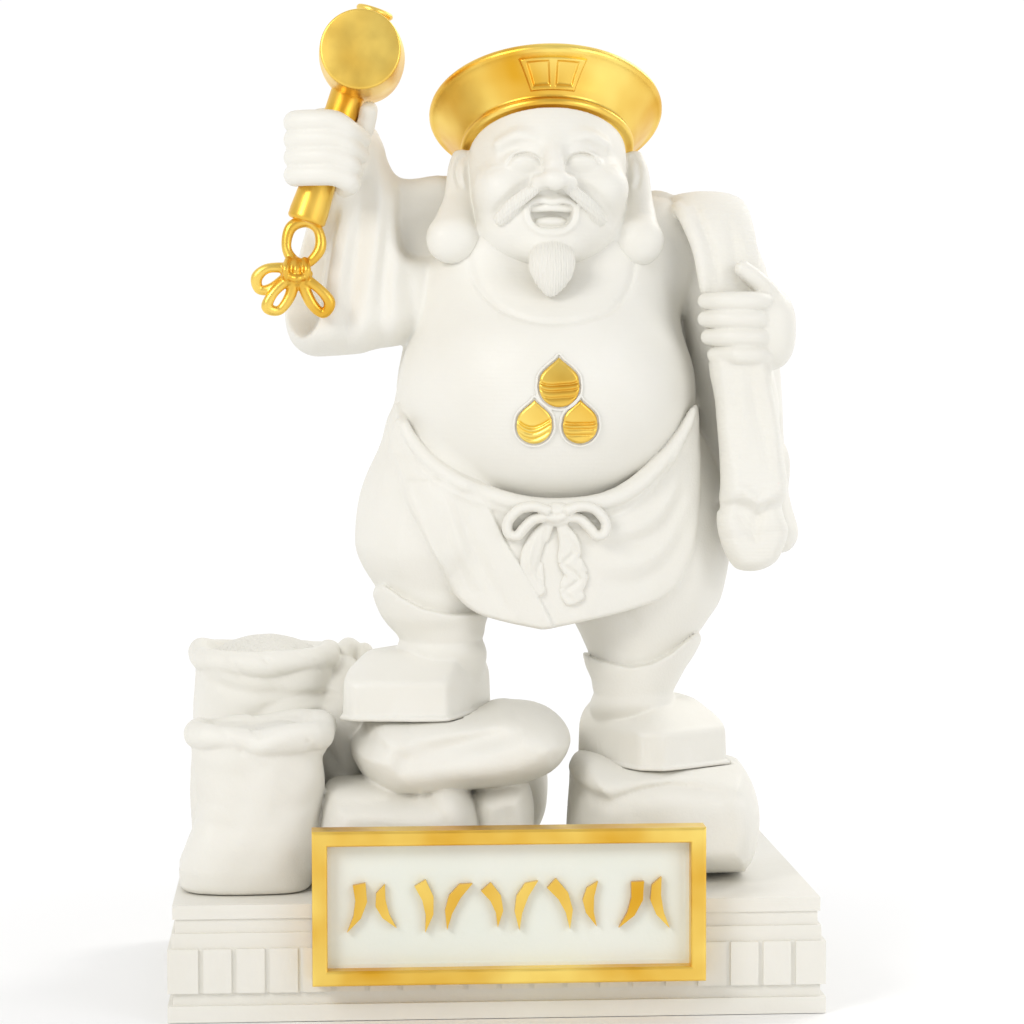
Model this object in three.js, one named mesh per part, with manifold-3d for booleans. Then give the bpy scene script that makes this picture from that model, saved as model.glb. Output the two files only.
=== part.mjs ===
import * as THREE from 'three';
import { mergeVertices } from 'three/addons/utils/BufferGeometryUtils.js';
import Module from 'manifold-3d';

// A laughing figure of fortune with a mallet and a slung sack, standing on filled sacks on a plinth.
// Millimetres, +Z up, front towards -Y. The origin is the centre of the plinth's underside.

// Gap between pieces that touch
const CLEARANCE = 0.4;

// Plinth: courses from the ground up, each with its own height and its inset from the widest course
const PLINTH_WIDTH = 390;
const PLINTH_DEPTH = 260;
const BASE_HEIGHT = 9.8;
const FILLET_HEIGHT = 7.5;
const FILLET_INSET = 3;
const FRIEZE_HEIGHT = 26.1;
const LEDGE_HEIGHT = 9;
const LEDGE_INSET = 2.5;
const NECK_HEIGHT = 8.4;
const NECK_INSET = 4.5;
const TOP_HEIGHT = 8.2;
const TOP_INSET = 3;
const FRIEZE_PITCH = 19.5;
const SIDE_PITCH = 52;
const GROOVE_WIDTH = 3;
const GROOVE_DEPTH = 1.6;

// Plaque on the front of the plinth
const PLAQUE_WIDTH = 231;
const PLAQUE_HEIGHT = 91;
const PLAQUE_CENTRE_X = 5.5;
const PLAQUE_BOTTOM = 24;
const FRAME_BAR = 9;
const FRAME_DEPTH = 18;
const FRAME_ROUND = 1.2;
const PANEL_THICKNESS = 8;
const STROKE_COUNT = 10;
const STROKE_PITCH = 20.2;
const STROKE_LENGTH = 31;
const STROKE_WIDTH = 8.5;
const STROKE_HEIGHT = 4;

// Hat. Its band goes round the head, and its rim hangs over the band.
const HAT_BAND_GAP = 2.5;
const HAT_OVERHANG = 21.5;
const HAT_FLARE_HEIGHT = 26;
const HAT_DOME_HEIGHT = 12;
const HAT_LIP_RADIUS = 3.4;
const HAT_BEAD_RADIUS = 3;
const HAT_TILT = 30;

// Mallet
const MALLET_RADIUS = 24.4;
const MALLET_LENGTH = 58;
const MALLET_BARREL = 1.6;
const MALLET_AXIS = [0.053, 1, -0.08];
const HANDLE_RADIUS = 10.5;
const CAP_RADIUS = 11.6;
const CORD_RADIUS = 3.4;

// Jewels on the belly
const JEWEL_WIDTH = 24.5;
const JEWEL_LENGTH = 30;
const JEWEL_RELIEF = 2.2;

// Free forms are drawn at a height of 537 above the plinth and keep their shares of the figure's own height
const FIGURE_HEIGHT = 537;
const DRAWN_HEIGHT = 537;
const SHARE = FIGURE_HEIGHT / DRAWN_HEIGHT;

const PLINTH_HEIGHT = BASE_HEIGHT + FILLET_HEIGHT + FRIEZE_HEIGHT + LEDGE_HEIGHT + NECK_HEIGHT + TOP_HEIGHT;
const MIDDLE_X = 38;
const LEFT_SOLE = 101;
const RIGHT_SOLE = 69;
const FOOT_ROOM = 120;
const MALLET_FACE = [-78.5, -70, 506];
const BOW_KNOT = [38.5, -81, 226.5];
const BOW_CORD = 3.2;
const BOW_TAIL = 48;
const WAISTBAND_RADIUS = 4;
const LAP_THICKNESS = 3;
const SLEEVE_ROUND = 8;
const FINGER_PITCH = 10.7;
const ROLL_RADIUS = 7.5;
const BADGE_RISE = 3.6;
const BADGE_DEPTH = 1.8;
// How many times deeper than wide the round edge of a cushion is
const CUSHION_DEPTH = 1.5;
// Feet of the three drops in the front view
const JEWELS = { jewel_top: [39, 291], jewel_left: [22.5, 268], jewel_right: [54.5, 268] };

const wasm = await Module();
wasm.setup();

const stone = { color: 0xe9e5d8, roughness: 0.62, metalness: 0 };
const panelStone = { color: 0xdfe3d6, roughness: 0.6, metalness: 0 };
const gold = { color: 0xd9a93c, roughness: 0.3, metalness: 1 };

const FRONT = new THREE.Vector3(0, -1, 0);
const UP = new THREE.Vector3(0, 0, 1);
const ACROSS = new THREE.Vector3(1, 0, 0);
const drawn = ([x, y, z]) => new THREE.Vector3(x, y, z).multiplyScalar(SHARE);
const radians = THREE.MathUtils.degToRad;
const wave = (value, count, phase = 0) => Math.cos(value * count + phase);
const smooth = THREE.MathUtils.smoothstep;

function solid(geometry) {
  geometry.deleteAttribute('normal');
  geometry.deleteAttribute('uv');
  const merged = mergeVertices(geometry, 1e-4);
  const mesh = new wasm.Mesh({
    numProp: 3,
    vertProperties: new Float32Array(merged.attributes.position.array),
    triVerts: new Uint32Array(merged.index.array),
  });
  mesh.merge();
  return new wasm.Manifold(mesh);
}

const join = (parts) => parts.reduce((whole, part) => whole.add(part));
const cut = (whole, parts) => parts.reduce((rest, part) => rest.subtract(part), whole);

function geometryOf(body) {
  const { vertProperties, triVerts } = body.getMesh();
  const geometry = new THREE.BufferGeometry();
  geometry.setAttribute('position', new THREE.BufferAttribute(vertProperties, 3));
  geometry.setIndex(new THREE.BufferAttribute(triVerts, 1));
  geometry.computeVertexNormals();
  return geometry;
}

function piece(name, body, look) {
  const mesh = new THREE.Mesh(geometryOf(body), new THREE.MeshStandardMaterial(look));
  mesh.name = name;
  return mesh;
}

// Moves each vertex of a geometry to place(vertex)
function reshape(geometry, place) {
  const position = geometry.attributes.position;
  const vertex = new THREE.Vector3();
  for (let i = 0; i < position.count; i += 1) {
    vertex.fromBufferAttribute(position, i);
    place(vertex);
    position.setXYZ(i, vertex.x, vertex.y, vertex.z);
  }
  return geometry;
}

// A rounded body along a route of drawn points, with a half-width and a half-depth at each point.
// The depth lies towards `facing`, and relief(t, angle) raises the surface.
function limb({ route, wide, deep = wide, facing = FRONT, sides = 10, rows = 8, blunt = 4, relief }) {
  const path = new THREE.CatmullRomCurve3(route.map(drawn));
  const sizes = new THREE.CatmullRomCurve3(wide.map((w, i) => drawn([w, deep[i], 0])));
  return solid(reshape(new THREE.SphereGeometry(1, sides, rows), (vertex) => {
    const t = THREE.MathUtils.clamp((1 - vertex.y) / 2, 0, 1);
    const angle = Math.atan2(vertex.z, vertex.x);
    const centre = path.getPoint(t);
    const back = path.getTangent(t).negate();
    const across = new THREE.Vector3().crossVectors(facing, back).normalize();
    const depth = new THREE.Vector3().crossVectors(across, back);
    const size = sizes.getPoint(t);
    const round = Math.sqrt(Math.max(0, 1 - Math.abs(2 * t - 1) ** blunt));
    const lift = 1 + (relief ? relief(t, angle) : 0);
    vertex.copy(centre)
      .addScaledVector(across, Math.cos(angle) * size.x * round * lift)
      .addScaledVector(depth, Math.sin(angle) * size.y * round * lift);
  }));
}

// A rounded mass. square > 2 makes it boxier, relief(direction) raises the surface,
// and grow adds a true distance.
function mass({ at, size, turn = [0, 0, 0], sides = 16, rows = 10, square = 2, relief, grow = 0 }) {
  const radii = drawn(size).addScalar(grow);
  const centre = drawn(at);
  const rotation = new THREE.Euler(...turn.map(radians));
  return solid(reshape(new THREE.SphereGeometry(1, sides, rows).rotateX(Math.PI / 2), (vertex) => {
    const norm = (Math.abs(vertex.x) ** square + Math.abs(vertex.y) ** square + Math.abs(vertex.z) ** square)
      ** (1 / square);
    const lift = 1 + (relief ? relief(vertex) : 0);
    vertex.multiplyScalar(lift / norm).multiply(radii).applyEuler(rotation).add(centre);
  }));
}

// A round bar between two points, given in true millimetres
function bar(from, to, radius, sides = 16) {
  const length = from.distanceTo(to);
  const geometry = new THREE.CylinderGeometry(radius, radius, length, sides);
  const turn = new THREE.Quaternion().setFromUnitVectors(
    new THREE.Vector3(0, 1, 0), to.clone().sub(from).normalize());
  geometry.applyQuaternion(turn);
  geometry.translate(...from.clone().add(to).multiplyScalar(0.5).toArray());
  return solid(geometry);
}

// A tube of one thickness along a route
function tube(route, radius, { closed = false, steps = 24, sides = 8 } = {}) {
  const path = new THREE.CatmullRomCurve3(route, closed);
  const section = new THREE.Shape().absarc(0, 0, radius, 0, 2 * Math.PI);
  return solid(new THREE.ExtrudeGeometry(section, {
    extrudePath: path, steps, curveSegments: sides / 2, bevelEnabled: false,
  }));
}

function block(x0, x1, y0, y1, z0, z1) {
  const geometry = new THREE.BoxGeometry(x1 - x0, y1 - y0, z1 - z0);
  return solid(geometry.translate((x0 + x1) / 2, (y0 + y1) / 2, (z0 + z1) / 2));
}

// A flat outline in the front view, raised towards the front from y = back to y = front
function frontPlate(shape, back, front, options = {}) {
  const { curveSegments = 8, bevel = 0, bevelDepth = bevel, bevelSegments = 1 } = options;
  const geometry = new THREE.ExtrudeGeometry(shape, {
    depth: back - front - 2 * bevelDepth, curveSegments, bevelEnabled: bevel > 0, bevelSize: bevel,
    bevelOffset: -bevel, bevelThickness: bevelDepth, bevelSegments,
  });
  return solid(geometry.rotateX(Math.PI / 2).translate(0, back - bevelDepth, 0));
}

// A filled cloth: a smooth outline (x, z) in the front view, whose round edge is deeper than it is wide
function cushion(points, back, front, round, steps, bevelSegments = 2) {
  const curve = new THREE.CatmullRomCurve3(points.map(([x, z]) => drawn([x, z, 0])), true);
  const line = curve.getPoints(steps).slice(0, -1);
  const shape = new THREE.Shape(line.map(({ x, y }) => new THREE.Vector2(x, y)));
  return frontPlate(shape, back * SHARE, front * SHARE, {
    bevel: round * SHARE, bevelDepth: CUSHION_DEPTH * round * SHARE, bevelSegments,
  });
}

// Plinth
function makePlinth() {
  const courses = [
    [0, BASE_HEIGHT], [FILLET_INSET, FILLET_HEIGHT], [0, FRIEZE_HEIGHT],
    [LEDGE_INSET, LEDGE_HEIGHT], [NECK_INSET, NECK_HEIGHT], [TOP_INSET, TOP_HEIGHT],
  ];
  const rings = [];
  let z = 0;
  for (const [inset, height] of courses) {
    rings.push([inset, z], [inset, z + height]);
    z += height;
  }
  const steps = rings.length - 1;
  const moulded = solid(reshape(new THREE.CylinderGeometry(1, 1, 1, 4, steps), (vertex) => {
    const [inset, level] = rings[Math.round((vertex.y + 0.5) * steps)];
    const middle = Math.hypot(vertex.x, vertex.z) < 0.5;
    const angle = Math.atan2(vertex.x, vertex.z) + Math.PI / 4;
    const x = middle ? 0 : Math.sign(Math.cos(angle)) * (PLINTH_WIDTH / 2 - inset);
    const y = middle ? 0 : Math.sign(Math.sin(angle)) * (PLINTH_DEPTH / 2 - inset);
    vertex.set(x, y, level);
  }));
  const friezeBottom = BASE_HEIGHT + FILLET_HEIGHT;
  const friezeTop = friezeBottom + FRIEZE_HEIGHT;
  const grooves = [];
  const reach = GROOVE_WIDTH / 2;
  const groove = (x, y, halfX, halfY) => grooves.push(
    block(x - halfX, x + halfX, y - halfY, y + halfY, friezeBottom - 1, friezeTop + 1));
  const along = (length, pitch, make) => {
    const count = Math.round(length / pitch);
    for (let i = 1; i < count; i += 1) make((i / count - 0.5) * length);
  };
  // The sides are plainer than the front, and the back is plain
  along(PLINTH_WIDTH, FRIEZE_PITCH, (x) => groove(x, -PLINTH_DEPTH / 2, reach, GROOVE_DEPTH));
  for (const side of [-1, 1]) {
    along(PLINTH_DEPTH, SIDE_PITCH, (y) => groove((side * PLINTH_WIDTH) / 2, y, GROOVE_DEPTH, reach));
  }
  return cut(moulded, grooves);
}

// Plaque: a moulded frame, a recessed panel and a row of raised brush strokes
const plaqueBack = -PLINTH_DEPTH / 2 - CLEARANCE;
const panelFront = plaqueBack - PANEL_THICKNESS;

function rectangle(width, height, Kind = THREE.Shape) {
  const shape = new Kind();
  shape.moveTo(-width / 2, -height / 2).lineTo(width / 2, -height / 2);
  shape.lineTo(width / 2, height / 2).lineTo(-width / 2, height / 2).closePath();
  return shape;
}

function makeFrame() {
  const outline = rectangle(PLAQUE_WIDTH, PLAQUE_HEIGHT);
  outline.holes.push(rectangle(PLAQUE_WIDTH - 2 * FRAME_BAR, PLAQUE_HEIGHT - 2 * FRAME_BAR, THREE.Path));
  return frontPlate(outline, plaqueBack, plaqueBack - FRAME_DEPTH, { bevel: FRAME_ROUND });
}

function makePanel() {
  const inset = FRAME_BAR + CLEARANCE + FRAME_ROUND;
  const outline = rectangle(PLAQUE_WIDTH - 2 * inset, PLAQUE_HEIGHT - 2 * inset);
  return frontPlate(outline, plaqueBack, panelFront);
}

function makeStroke(index) {
  const lean = radians([-16, 20, 4, -24, 14][index % 5]);
  const length = STROKE_LENGTH * (index % 3 === 1 ? 0.86 : 1);
  const bend = STROKE_WIDTH * (index % 2 === 0 ? 0.9 : -0.9);
  const stroke = new THREE.Shape();
  stroke.moveTo(0, -length / 2);
  stroke.quadraticCurveTo(STROKE_WIDTH / 2 + bend, 0, STROKE_WIDTH * 0.3, length / 2);
  stroke.lineTo(-STROKE_WIDTH * 0.5, length / 2 - STROKE_WIDTH * 0.4);
  stroke.quadraticCurveTo(bend - STROKE_WIDTH / 2, 0, 0, -length / 2);
  const back = panelFront - CLEARANCE;
  const geometry = new THREE.ExtrudeGeometry(stroke, {
    depth: STROKE_HEIGHT, curveSegments: 3, bevelEnabled: false,
  });
  geometry.rotateZ(lean).rotateX(Math.PI / 2).translate(0, back, 0);
  return solid(geometry);
}

// Head, face and ears. The crown ends inside the hat.
const HEAD = { at: [MIDDLE_X, -16, 440], size: [49, 50, 50], sides: 14, rows: 7 };

function makeFace() {
  const features = [
    // Jaw, neck and the muzzle round the mouth
    mass({ at: [MIDDLE_X, -29, 411], size: [45, 38, 35], sides: 10, rows: 6 }),
    mass({ at: [MIDDLE_X, 4, 385], size: [36, 34, 34], sides: 6, rows: 4 }),
    mass({ at: [MIDDLE_X, -56, 408], size: [26, 19, 20], sides: 8, rows: 4 }),
  ];
  for (const side of [-1, 1]) {
    const x = (offset) => MIDDLE_X + side * offset;
    // Cheek, closed eye and nostril
    features.push(mass({ at: [x(27), -49, 426], size: [17, 18, 15], sides: 7, rows: 4 }));
    features.push(mass({ at: [x(18.5), -59, 440], size: [12.5, 9, 6], sides: 5, rows: 4 }));
    features.push(mass({ at: [x(8.5), -73, 426], size: [5, 6.5, 4.8], sides: 4, rows: 3 }));
    // Moustache, sweeping down and out
    features.push(limb({
      route: [[x(5), -73, 421], [x(14), -71, 418.5], [x(26), -64, 409], [x(33), -56, 400]],
      wide: [3, 5, 5, 3], sides: 4, rows: 5,
    }));
    // Ear with its long lobe
    features.push(limb({
      route: [[x(46), -14, 450], [x(52), -17, 436], [x(54), -23, 418], [x(57), -36, 396]],
      wide: [6, 10, 10, 12], deep: [4, 7, 8, 10], sides: 6, rows: 4,
    }));
    features.push(mass({ at: [x(58), -42, 392], size: [16.5, 12, 17], sides: 7, rows: 4 }));
  }
  // Nose, lower lip and goatee
  features.push(limb({
    route: [[MIDDLE_X, -62, 453], [MIDDLE_X, -69, 441], [MIDDLE_X, -80, 425]], wide: [4, 5, 8.5],
    deep: [4, 5, 7], sides: 6, rows: 5,
  }));
  features.push(limb({
    route: [[MIDDLE_X - 15, -67, 406], [MIDDLE_X, -72, 397], [MIDDLE_X + 15, -67, 406]],
    wide: [3, 3.4, 3], facing: UP, sides: 4, rows: 5,
  }));
  features.push(limb({
    route: [[MIDDLE_X, -60, 396], [MIDDLE_X, -69, 386], [MIDDLE_X - 1, -74, 374], [MIDDLE_X - 2, -78, 355]],
    wide: [9, 14.5, 13, 1.5], deep: [6, 9, 8, 1.5], sides: 7, rows: 5,
  }));
  return features;
}

function makeMouth() {
  return mass({ at: [MIDDLE_X, -72, 407], size: [14, 14, 7.5], sides: 8, rows: 5 });
}

// Belly and the waistband that sags under it
const BELLY = { at: [MIDDLE_X, -10, 299], size: [93, 84, 82], sides: 18, rows: 8 };

function waistPoint(angle) {
  const sine = Math.sin(angle);
  return drawn([
    MIDDLE_X + 93 * Math.cos(angle), -4 + 75 * sine, 290 + 42 * sine - 14 * sine * sine]);
}

function makeWaistband() {
  const ringSteps = 24;
  const route = Array.from({ length: ringSteps }, (_, i) => waistPoint((i / ringSteps) * 2 * Math.PI));
  return tube(route, WAISTBAND_RADIUS * SHARE, { closed: true, steps: 18, sides: 4 });
}

// The bow: a knot, two loops and two hanging tails
function makeBow() {
  const [x, y, z] = BOW_KNOT;
  const parts = [mass({ at: BOW_KNOT, size: [10, 6.5, 7.5], sides: 6, rows: 4 })];
  for (const side of [-1, 1]) {
    const loop = [[x, y, z], [x + side * 16, y - 1, z + 5], [x + side * 29, y + 3, z - 3],
      [x + side * 25, y + 3, z - 13], [x + side * 12, y, z - 5]];
    parts.push(tube(loop.map(drawn), BOW_CORD * SHARE, { closed: true, steps: 8, sides: 4 }));
    const foot = z - BOW_TAIL - (side > 0 ? 4 : 0);
    parts.push(limb({
      route: [[x + side * 3, y, z - 4], [x + side * 9, y, z - 20], [x + side * 13, y + 2, z - 36],
        [x + side * 10, y + 4, foot]],
      wide: [3, 7.5, 8, 6], deep: [3, 3, 3, 3], sides: 4, rows: 4, blunt: 8,
    }));
  }
  return parts;
}

// Trousers, the cloth tied over them, gaiters and shoes
function makeTrousers() {
  const gathers = (t, angle) => 0.025 * wave(angle, 7) * smooth(t, 0.15, 0.8);
  return [
    mass({ at: [39, 0, 250], size: [92, 62, 72], sides: 10, rows: 5 }),
    limb({
      route: [[-6, -4, 300], [-20, -10, 250], [-27, -14, 208], [-28, -16, 184], [-29, -18, 158]],
      wide: [44, 53, 55, 48, 38], deep: [44, 52, 55, 48, 38],
      sides: 12, rows: 7, blunt: 14, relief: gathers,
    }),
    limb({
      route: [[86, 0, 290], [96, 2, 245], [100, 1, 205], [101, -3, 170], [95, -9, 130]],
      wide: [44, 51, 54, 50, 38], deep: [46, 55, 57, 52, 39],
      sides: 12, rows: 7, blunt: 14, relief: gathers,
    }),
  ];
}

const WRAP_OUTLINE = [[-60, 282], [-55, 240], [-37, 204], [-20, 174], [5, 161], [33, 155], [78, 164],
  [115, 181], [128, 216], [131, 262], [126, 292], [104, 260], [75, 242], [40, 236], [4, 242], [-34, 260]];
const LAP_EDGE = [[-24, 252], [-1, 228], [17, 195], [38, 150]];

function polygon(points) {
  return new THREE.Shape(points.map(([x, z]) => new THREE.Vector2(x * SHARE, z * SHARE)));
}

// The cloth tied round the waist: folds sweep up to the right, and the left side laps over the front
function makeWrap() {
  const drape = (grow) => mass({
    at: [MIDDLE_X, -2, 232], size: [116, 78, 104], sides: 24, rows: 7, square: 2.5, grow,
  });
  const plate = frontPlate(polygon(WRAP_OUTLINE), -6 * SHARE, -100 * SHARE);
  const lap = frontPlate(polygon([[-140, 252], ...LAP_EDGE, [-140, 150]]), -6 * SHARE, -100 * SHARE);
  // Folds that sweep up to the right hip
  const folds = [[56, 214, 250], [62, 196, 232], [70, 178, 208]].map(([x, low, high]) => limb({
    route: [[x, -74, low], [x + 28, -68, low + 8], [x + 52, -54, high]],
    wide: [3, 5, 4], deep: [4, 7, 7], sides: 4, rows: 4,
  }));
  return [plate.intersect(drape(0)), plate.intersect(lap).intersect(drape(LAP_THICKNESS)), ...folds];
}

// A gaiter over the lower leg, cut along its drawn upper edge, which stands proud of the trousers
function makeGaiter({ route, wide, deep, edge }) {
  const first = edge[0];
  const last = edge[edge.length - 1];
  const above = polygon([...edge, [last[0], last[1] + 80], [first[0], first[1] + 80]]);
  const leg = limb({ route, wide, deep, sides: 10, rows: 5, blunt: 14 });
  return cut(leg, [frontPlate(above, 90 * SHARE, -120 * SHARE)]);
}

const GAITERS = [
  {
    route: [[-28, -16, 200], [-30, -18, 172], [-33, -22, 158], [-29, -26, 143], [-29, -28, 124]],
    wide: [53, 47, 37, 27, 33], deep: [55, 48, 37, 28, 34],
    edge: [[-90, 190], [-66, 180], [-45, 168], [20, 161]],
  },
  {
    route: [[101, -7, 168], [101, -10, 146], [97, -18, 126], [93, -26, 107], [92, -31, 88]],
    wide: [52, 46, 36, 26, 33], deep: [54, 47, 36, 27, 34],
    edge: [[40, 142], [69, 131], [94, 129], [123, 143], [155, 162]],
  },
];

// Corners of the shoe soles, seen from above, with the toe edge first
const LEFT_SHOE = {
  sole: LEFT_SOLE,
  wall: 26,
  outline: [[-93, -66], [-86, -74], [-43, -79], [-27, -78], [-12, -54], [5, -4], [-6, 14], [-56, 16]],
};
const RIGHT_SHOE = {
  sole: RIGHT_SOLE,
  wall: 29,
  outline: [[81, -62], [89, -73], [104, -77], [117, -70], [149, -48], [134, 14], [70, 18], [55, -6]],
};
const SOLE_THICKNESS = 3.2;
const UPPER_INSET = 1.4;
const UPPER_SLOPE = 0.5;
const UPPER_REACH = 24;

const middleOf = (points) => points.reduce(
  (sum, [x, y]) => [sum[0] + x / points.length, sum[1] + y / points.length], [0, 0]);

function flatOutline(points, inset) {
  const centre = middleOf(points);
  const shape = new THREE.Shape();
  points.forEach(([x, y], i) => {
    const corner = new THREE.Vector2(x - centre[0], y - centre[1]).multiplyScalar(SHARE);
    corner.setLength(corner.length() - inset).add(new THREE.Vector2(centre[0] * SHARE, centre[1] * SHARE));
    if (i === 0) shape.moveTo(corner.x, corner.y);
    else shape.lineTo(corner.x, corner.y);
  });
  return shape.closePath();
}

function layer(points, inset, bottom, top) {
  const geometry = new THREE.ExtrudeGeometry(flatOutline(points, inset), {
    depth: top - bottom, bevelEnabled: false,
  });
  return solid(geometry.translate(0, 0, bottom));
}

// The upper rises as a wall and then slopes up to the ankle
function makeShoe({ sole, wall, outline }) {
  const count = outline.length;
  const centre = middleOf(outline);
  const rings = [[UPPER_INSET, 1], [UPPER_INSET, wall], [UPPER_REACH, wall + UPPER_SLOPE * UPPER_REACH]];
  const steps = rings.length - 1;
  const upper = solid(reshape(new THREE.CylinderGeometry(1, 1, 1, count, steps), (vertex) => {
    const [inset, level] = rings[Math.round((vertex.y + 0.5) * steps)];
    const turn = Math.atan2(vertex.x, vertex.z) / (2 * Math.PI) + 1;
    const [x, y] = outline[Math.round(turn * count) % count];
    const arm = new THREE.Vector2(x - centre[0], y - centre[1]);
    arm.setLength(Math.hypot(vertex.x, vertex.z) < 0.5 ? 0 : arm.length() - inset);
    vertex.copy(drawn([centre[0] + arm.x, centre[1] + arm.y, sole + level]));
  }));
  return upper.add(layer(outline, 0, sole * SHARE, (sole + SOLE_THICKNESS) * SHARE));
}

// Room for a shoe in the sack that it stands on
const footprint = ({ sole, outline }) => layer(
  outline, -CLEARANCE * 2, sole * SHARE - CLEARANCE, (sole + FOOT_ROOM) * SHARE);

// Torso, shoulders, arms and hands
function makeTorso() {
  return [
    mass(BELLY),
    mass({ at: [MIDDLE_X, 3, 362], size: [84, 66, 68], sides: 12, rows: 5 }),
    mass({ at: [-22, 12, 392], size: [38, 31, 40], sides: 8, rows: 4 }),
    mass({ at: [104, 8, 384], size: [38, 36, 38], sides: 8, rows: 4 }),
  ];
}

const HANDLE_TOP = [-69.5, -40, 530];
const HANDLE_END = [-111, -40, 406];
const handleAt = (share) => drawn(HANDLE_TOP).lerp(drawn(HANDLE_END), share);

// The sleeve of the raised arm hangs down wide, and its hand is closed round the handle
function makeRaisedArm() {
  const outline = [[-70, 463], [-59, 437], [-40, 430], [-32, 380], [-50, 334], [-82, 323], [-112, 324],
    [-125, 346], [-116, 386], [-104, 428], [-92, 458]];
  const parts = [
    cushion(outline, 34, -31, SLEEVE_ROUND, 18, 1),
    mass({ at: [-99, -28, 446], size: [25, 20, 28], sides: 7, rows: 4 }),
    limb({
      route: [[-86, -28, 444], [-78, -38, 458], [-72, -46, 476]], wide: [9, 7.5, 6], sides: 5, rows: 4,
    }),
  ];
  // Folds that fall from the wrist to the lower edge
  for (const [top, foot, lift] of [[-67, -78, 0], [-77, -98, 1]]) {
    parts.push(limb({
      route: [[top, -28, 446 - 20 * Math.abs(lift)], [(top + foot) / 2, -33, 390], [foot, -28, 330]],
      wide: [4, 6, 5], deep: [3, 5, 4], sides: 4, rows: 5,
    }));
  }
  for (let finger = 0; finger < 4; finger += 1) {
    const z = 463.5 - finger * FINGER_PITCH;
    const tip = [-77 - 1.2 * finger * finger, -47, 455 - finger * FINGER_PITCH];
    parts.push(limb({
      route: [[-106, -26, z], [-118, -48, z], [-104, -61, z - 1], [-88, -60, (z + tip[2]) / 2 - 1], tip],
      wide: [6, 6.8, 6.8, 6.6, 5], facing: UP, sides: 5, rows: 4,
    }));
  }
  return parts;
}

function makeSackArm() {
  const folds = (t, angle) => 0.05 * wave(angle, 6, 1) * smooth(t, 0.1, 0.7);
  const end = [[138, 322], [141, 262], [139, 221], [147, 195], [165, 190], [182, 207], [180, 228],
    [182, 246], [176, 286], [168, 322]];
  const parts = [
    // Sleeve that hangs behind the sack's end
    limb({
      route: [[140, 8, 400], [152, 4, 360], [160, 4, 300], [164, 4, 240], [171, 2, 198]],
      wide: [26, 29, 27, 28, 25], deep: [26, 28, 26, 23, 17], sides: 9, rows: 5, blunt: 14,
      relief: folds,
    }),
    // Strap over the shoulder
    limb({
      route: [[150, -50, 326], [148, -46, 372], [143, -28, 406], [139, 4, 417], [124, 38, 404],
        [104, 60, 366]],
      wide: [7, 8, 8, 8, 9, 12], deep: [17, 19, 21, 22, 24, 26], facing: ACROSS, sides: 6, rows: 6,
      blunt: 12,
    }),
    // Sack end below the hand, with the pinched fold across it
    cushion(end, -40, -70, 7, 16, 1),
    limb({
      route: [[141, -66, 233], [153, -71, 241], [161, -71, 232], [171, -71, 241], [182, -64, 236]],
      wide: [3, 4, 3.5, 4, 3], sides: 4, rows: 5,
    }),
    // Sack on the back
    mass({ at: [82, 56, 330], size: [56, 46, 78], turn: [0, 8, 0], sides: 8, rows: 4, square: 2.4 }),
    // Back of the hand, and the thumb
    mass({ at: [168, -45, 338], size: [16, 20, 24], sides: 7, rows: 4 }),
    limb({
      route: [[178, -46, 342], [170, -56, 360], [151, -62, 378]], wide: [8, 7.2, 5.6], sides: 5, rows: 4,
    }),
  ];
  for (let finger = 0; finger < 4; finger += 1) {
    const z = 355 - finger * FINGER_PITCH;
    const end = finger < 3 ? 125 : 129;
    parts.push(limb({
      route: [[end, -56, z], [end + 15, -67, z], [158, -69, z], [179, -54, z]],
      wide: [5.2, 5.9, 6, 6.4], facing: UP, sides: 5, rows: 3,
    }));
  }
  return parts;
}

function makeFigure() {
  const bore = bar(handleAt(-0.2), handleAt(1.1), HANDLE_RADIUS + CLEARANCE, 12);
  const body = join([
    ...makeTorso(), ...makeTrousers(), ...makeWrap(), ...GAITERS.map(makeGaiter), makeShoe(LEFT_SHOE),
    makeShoe(RIGHT_SHOE), makeWaistband(), ...makeBow(), ...makeSackArm(), mass(HEAD),
  ]);
  const arm = cut(join(makeRaisedArm()), [bore]);
  return cut(join([body, arm, ...makeFace()]), [makeMouth()]);
}

// Hat, turned about its own axis and tilted back over the head
const HAT_CENTRE = [38.5, -8, 450.5];

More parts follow.
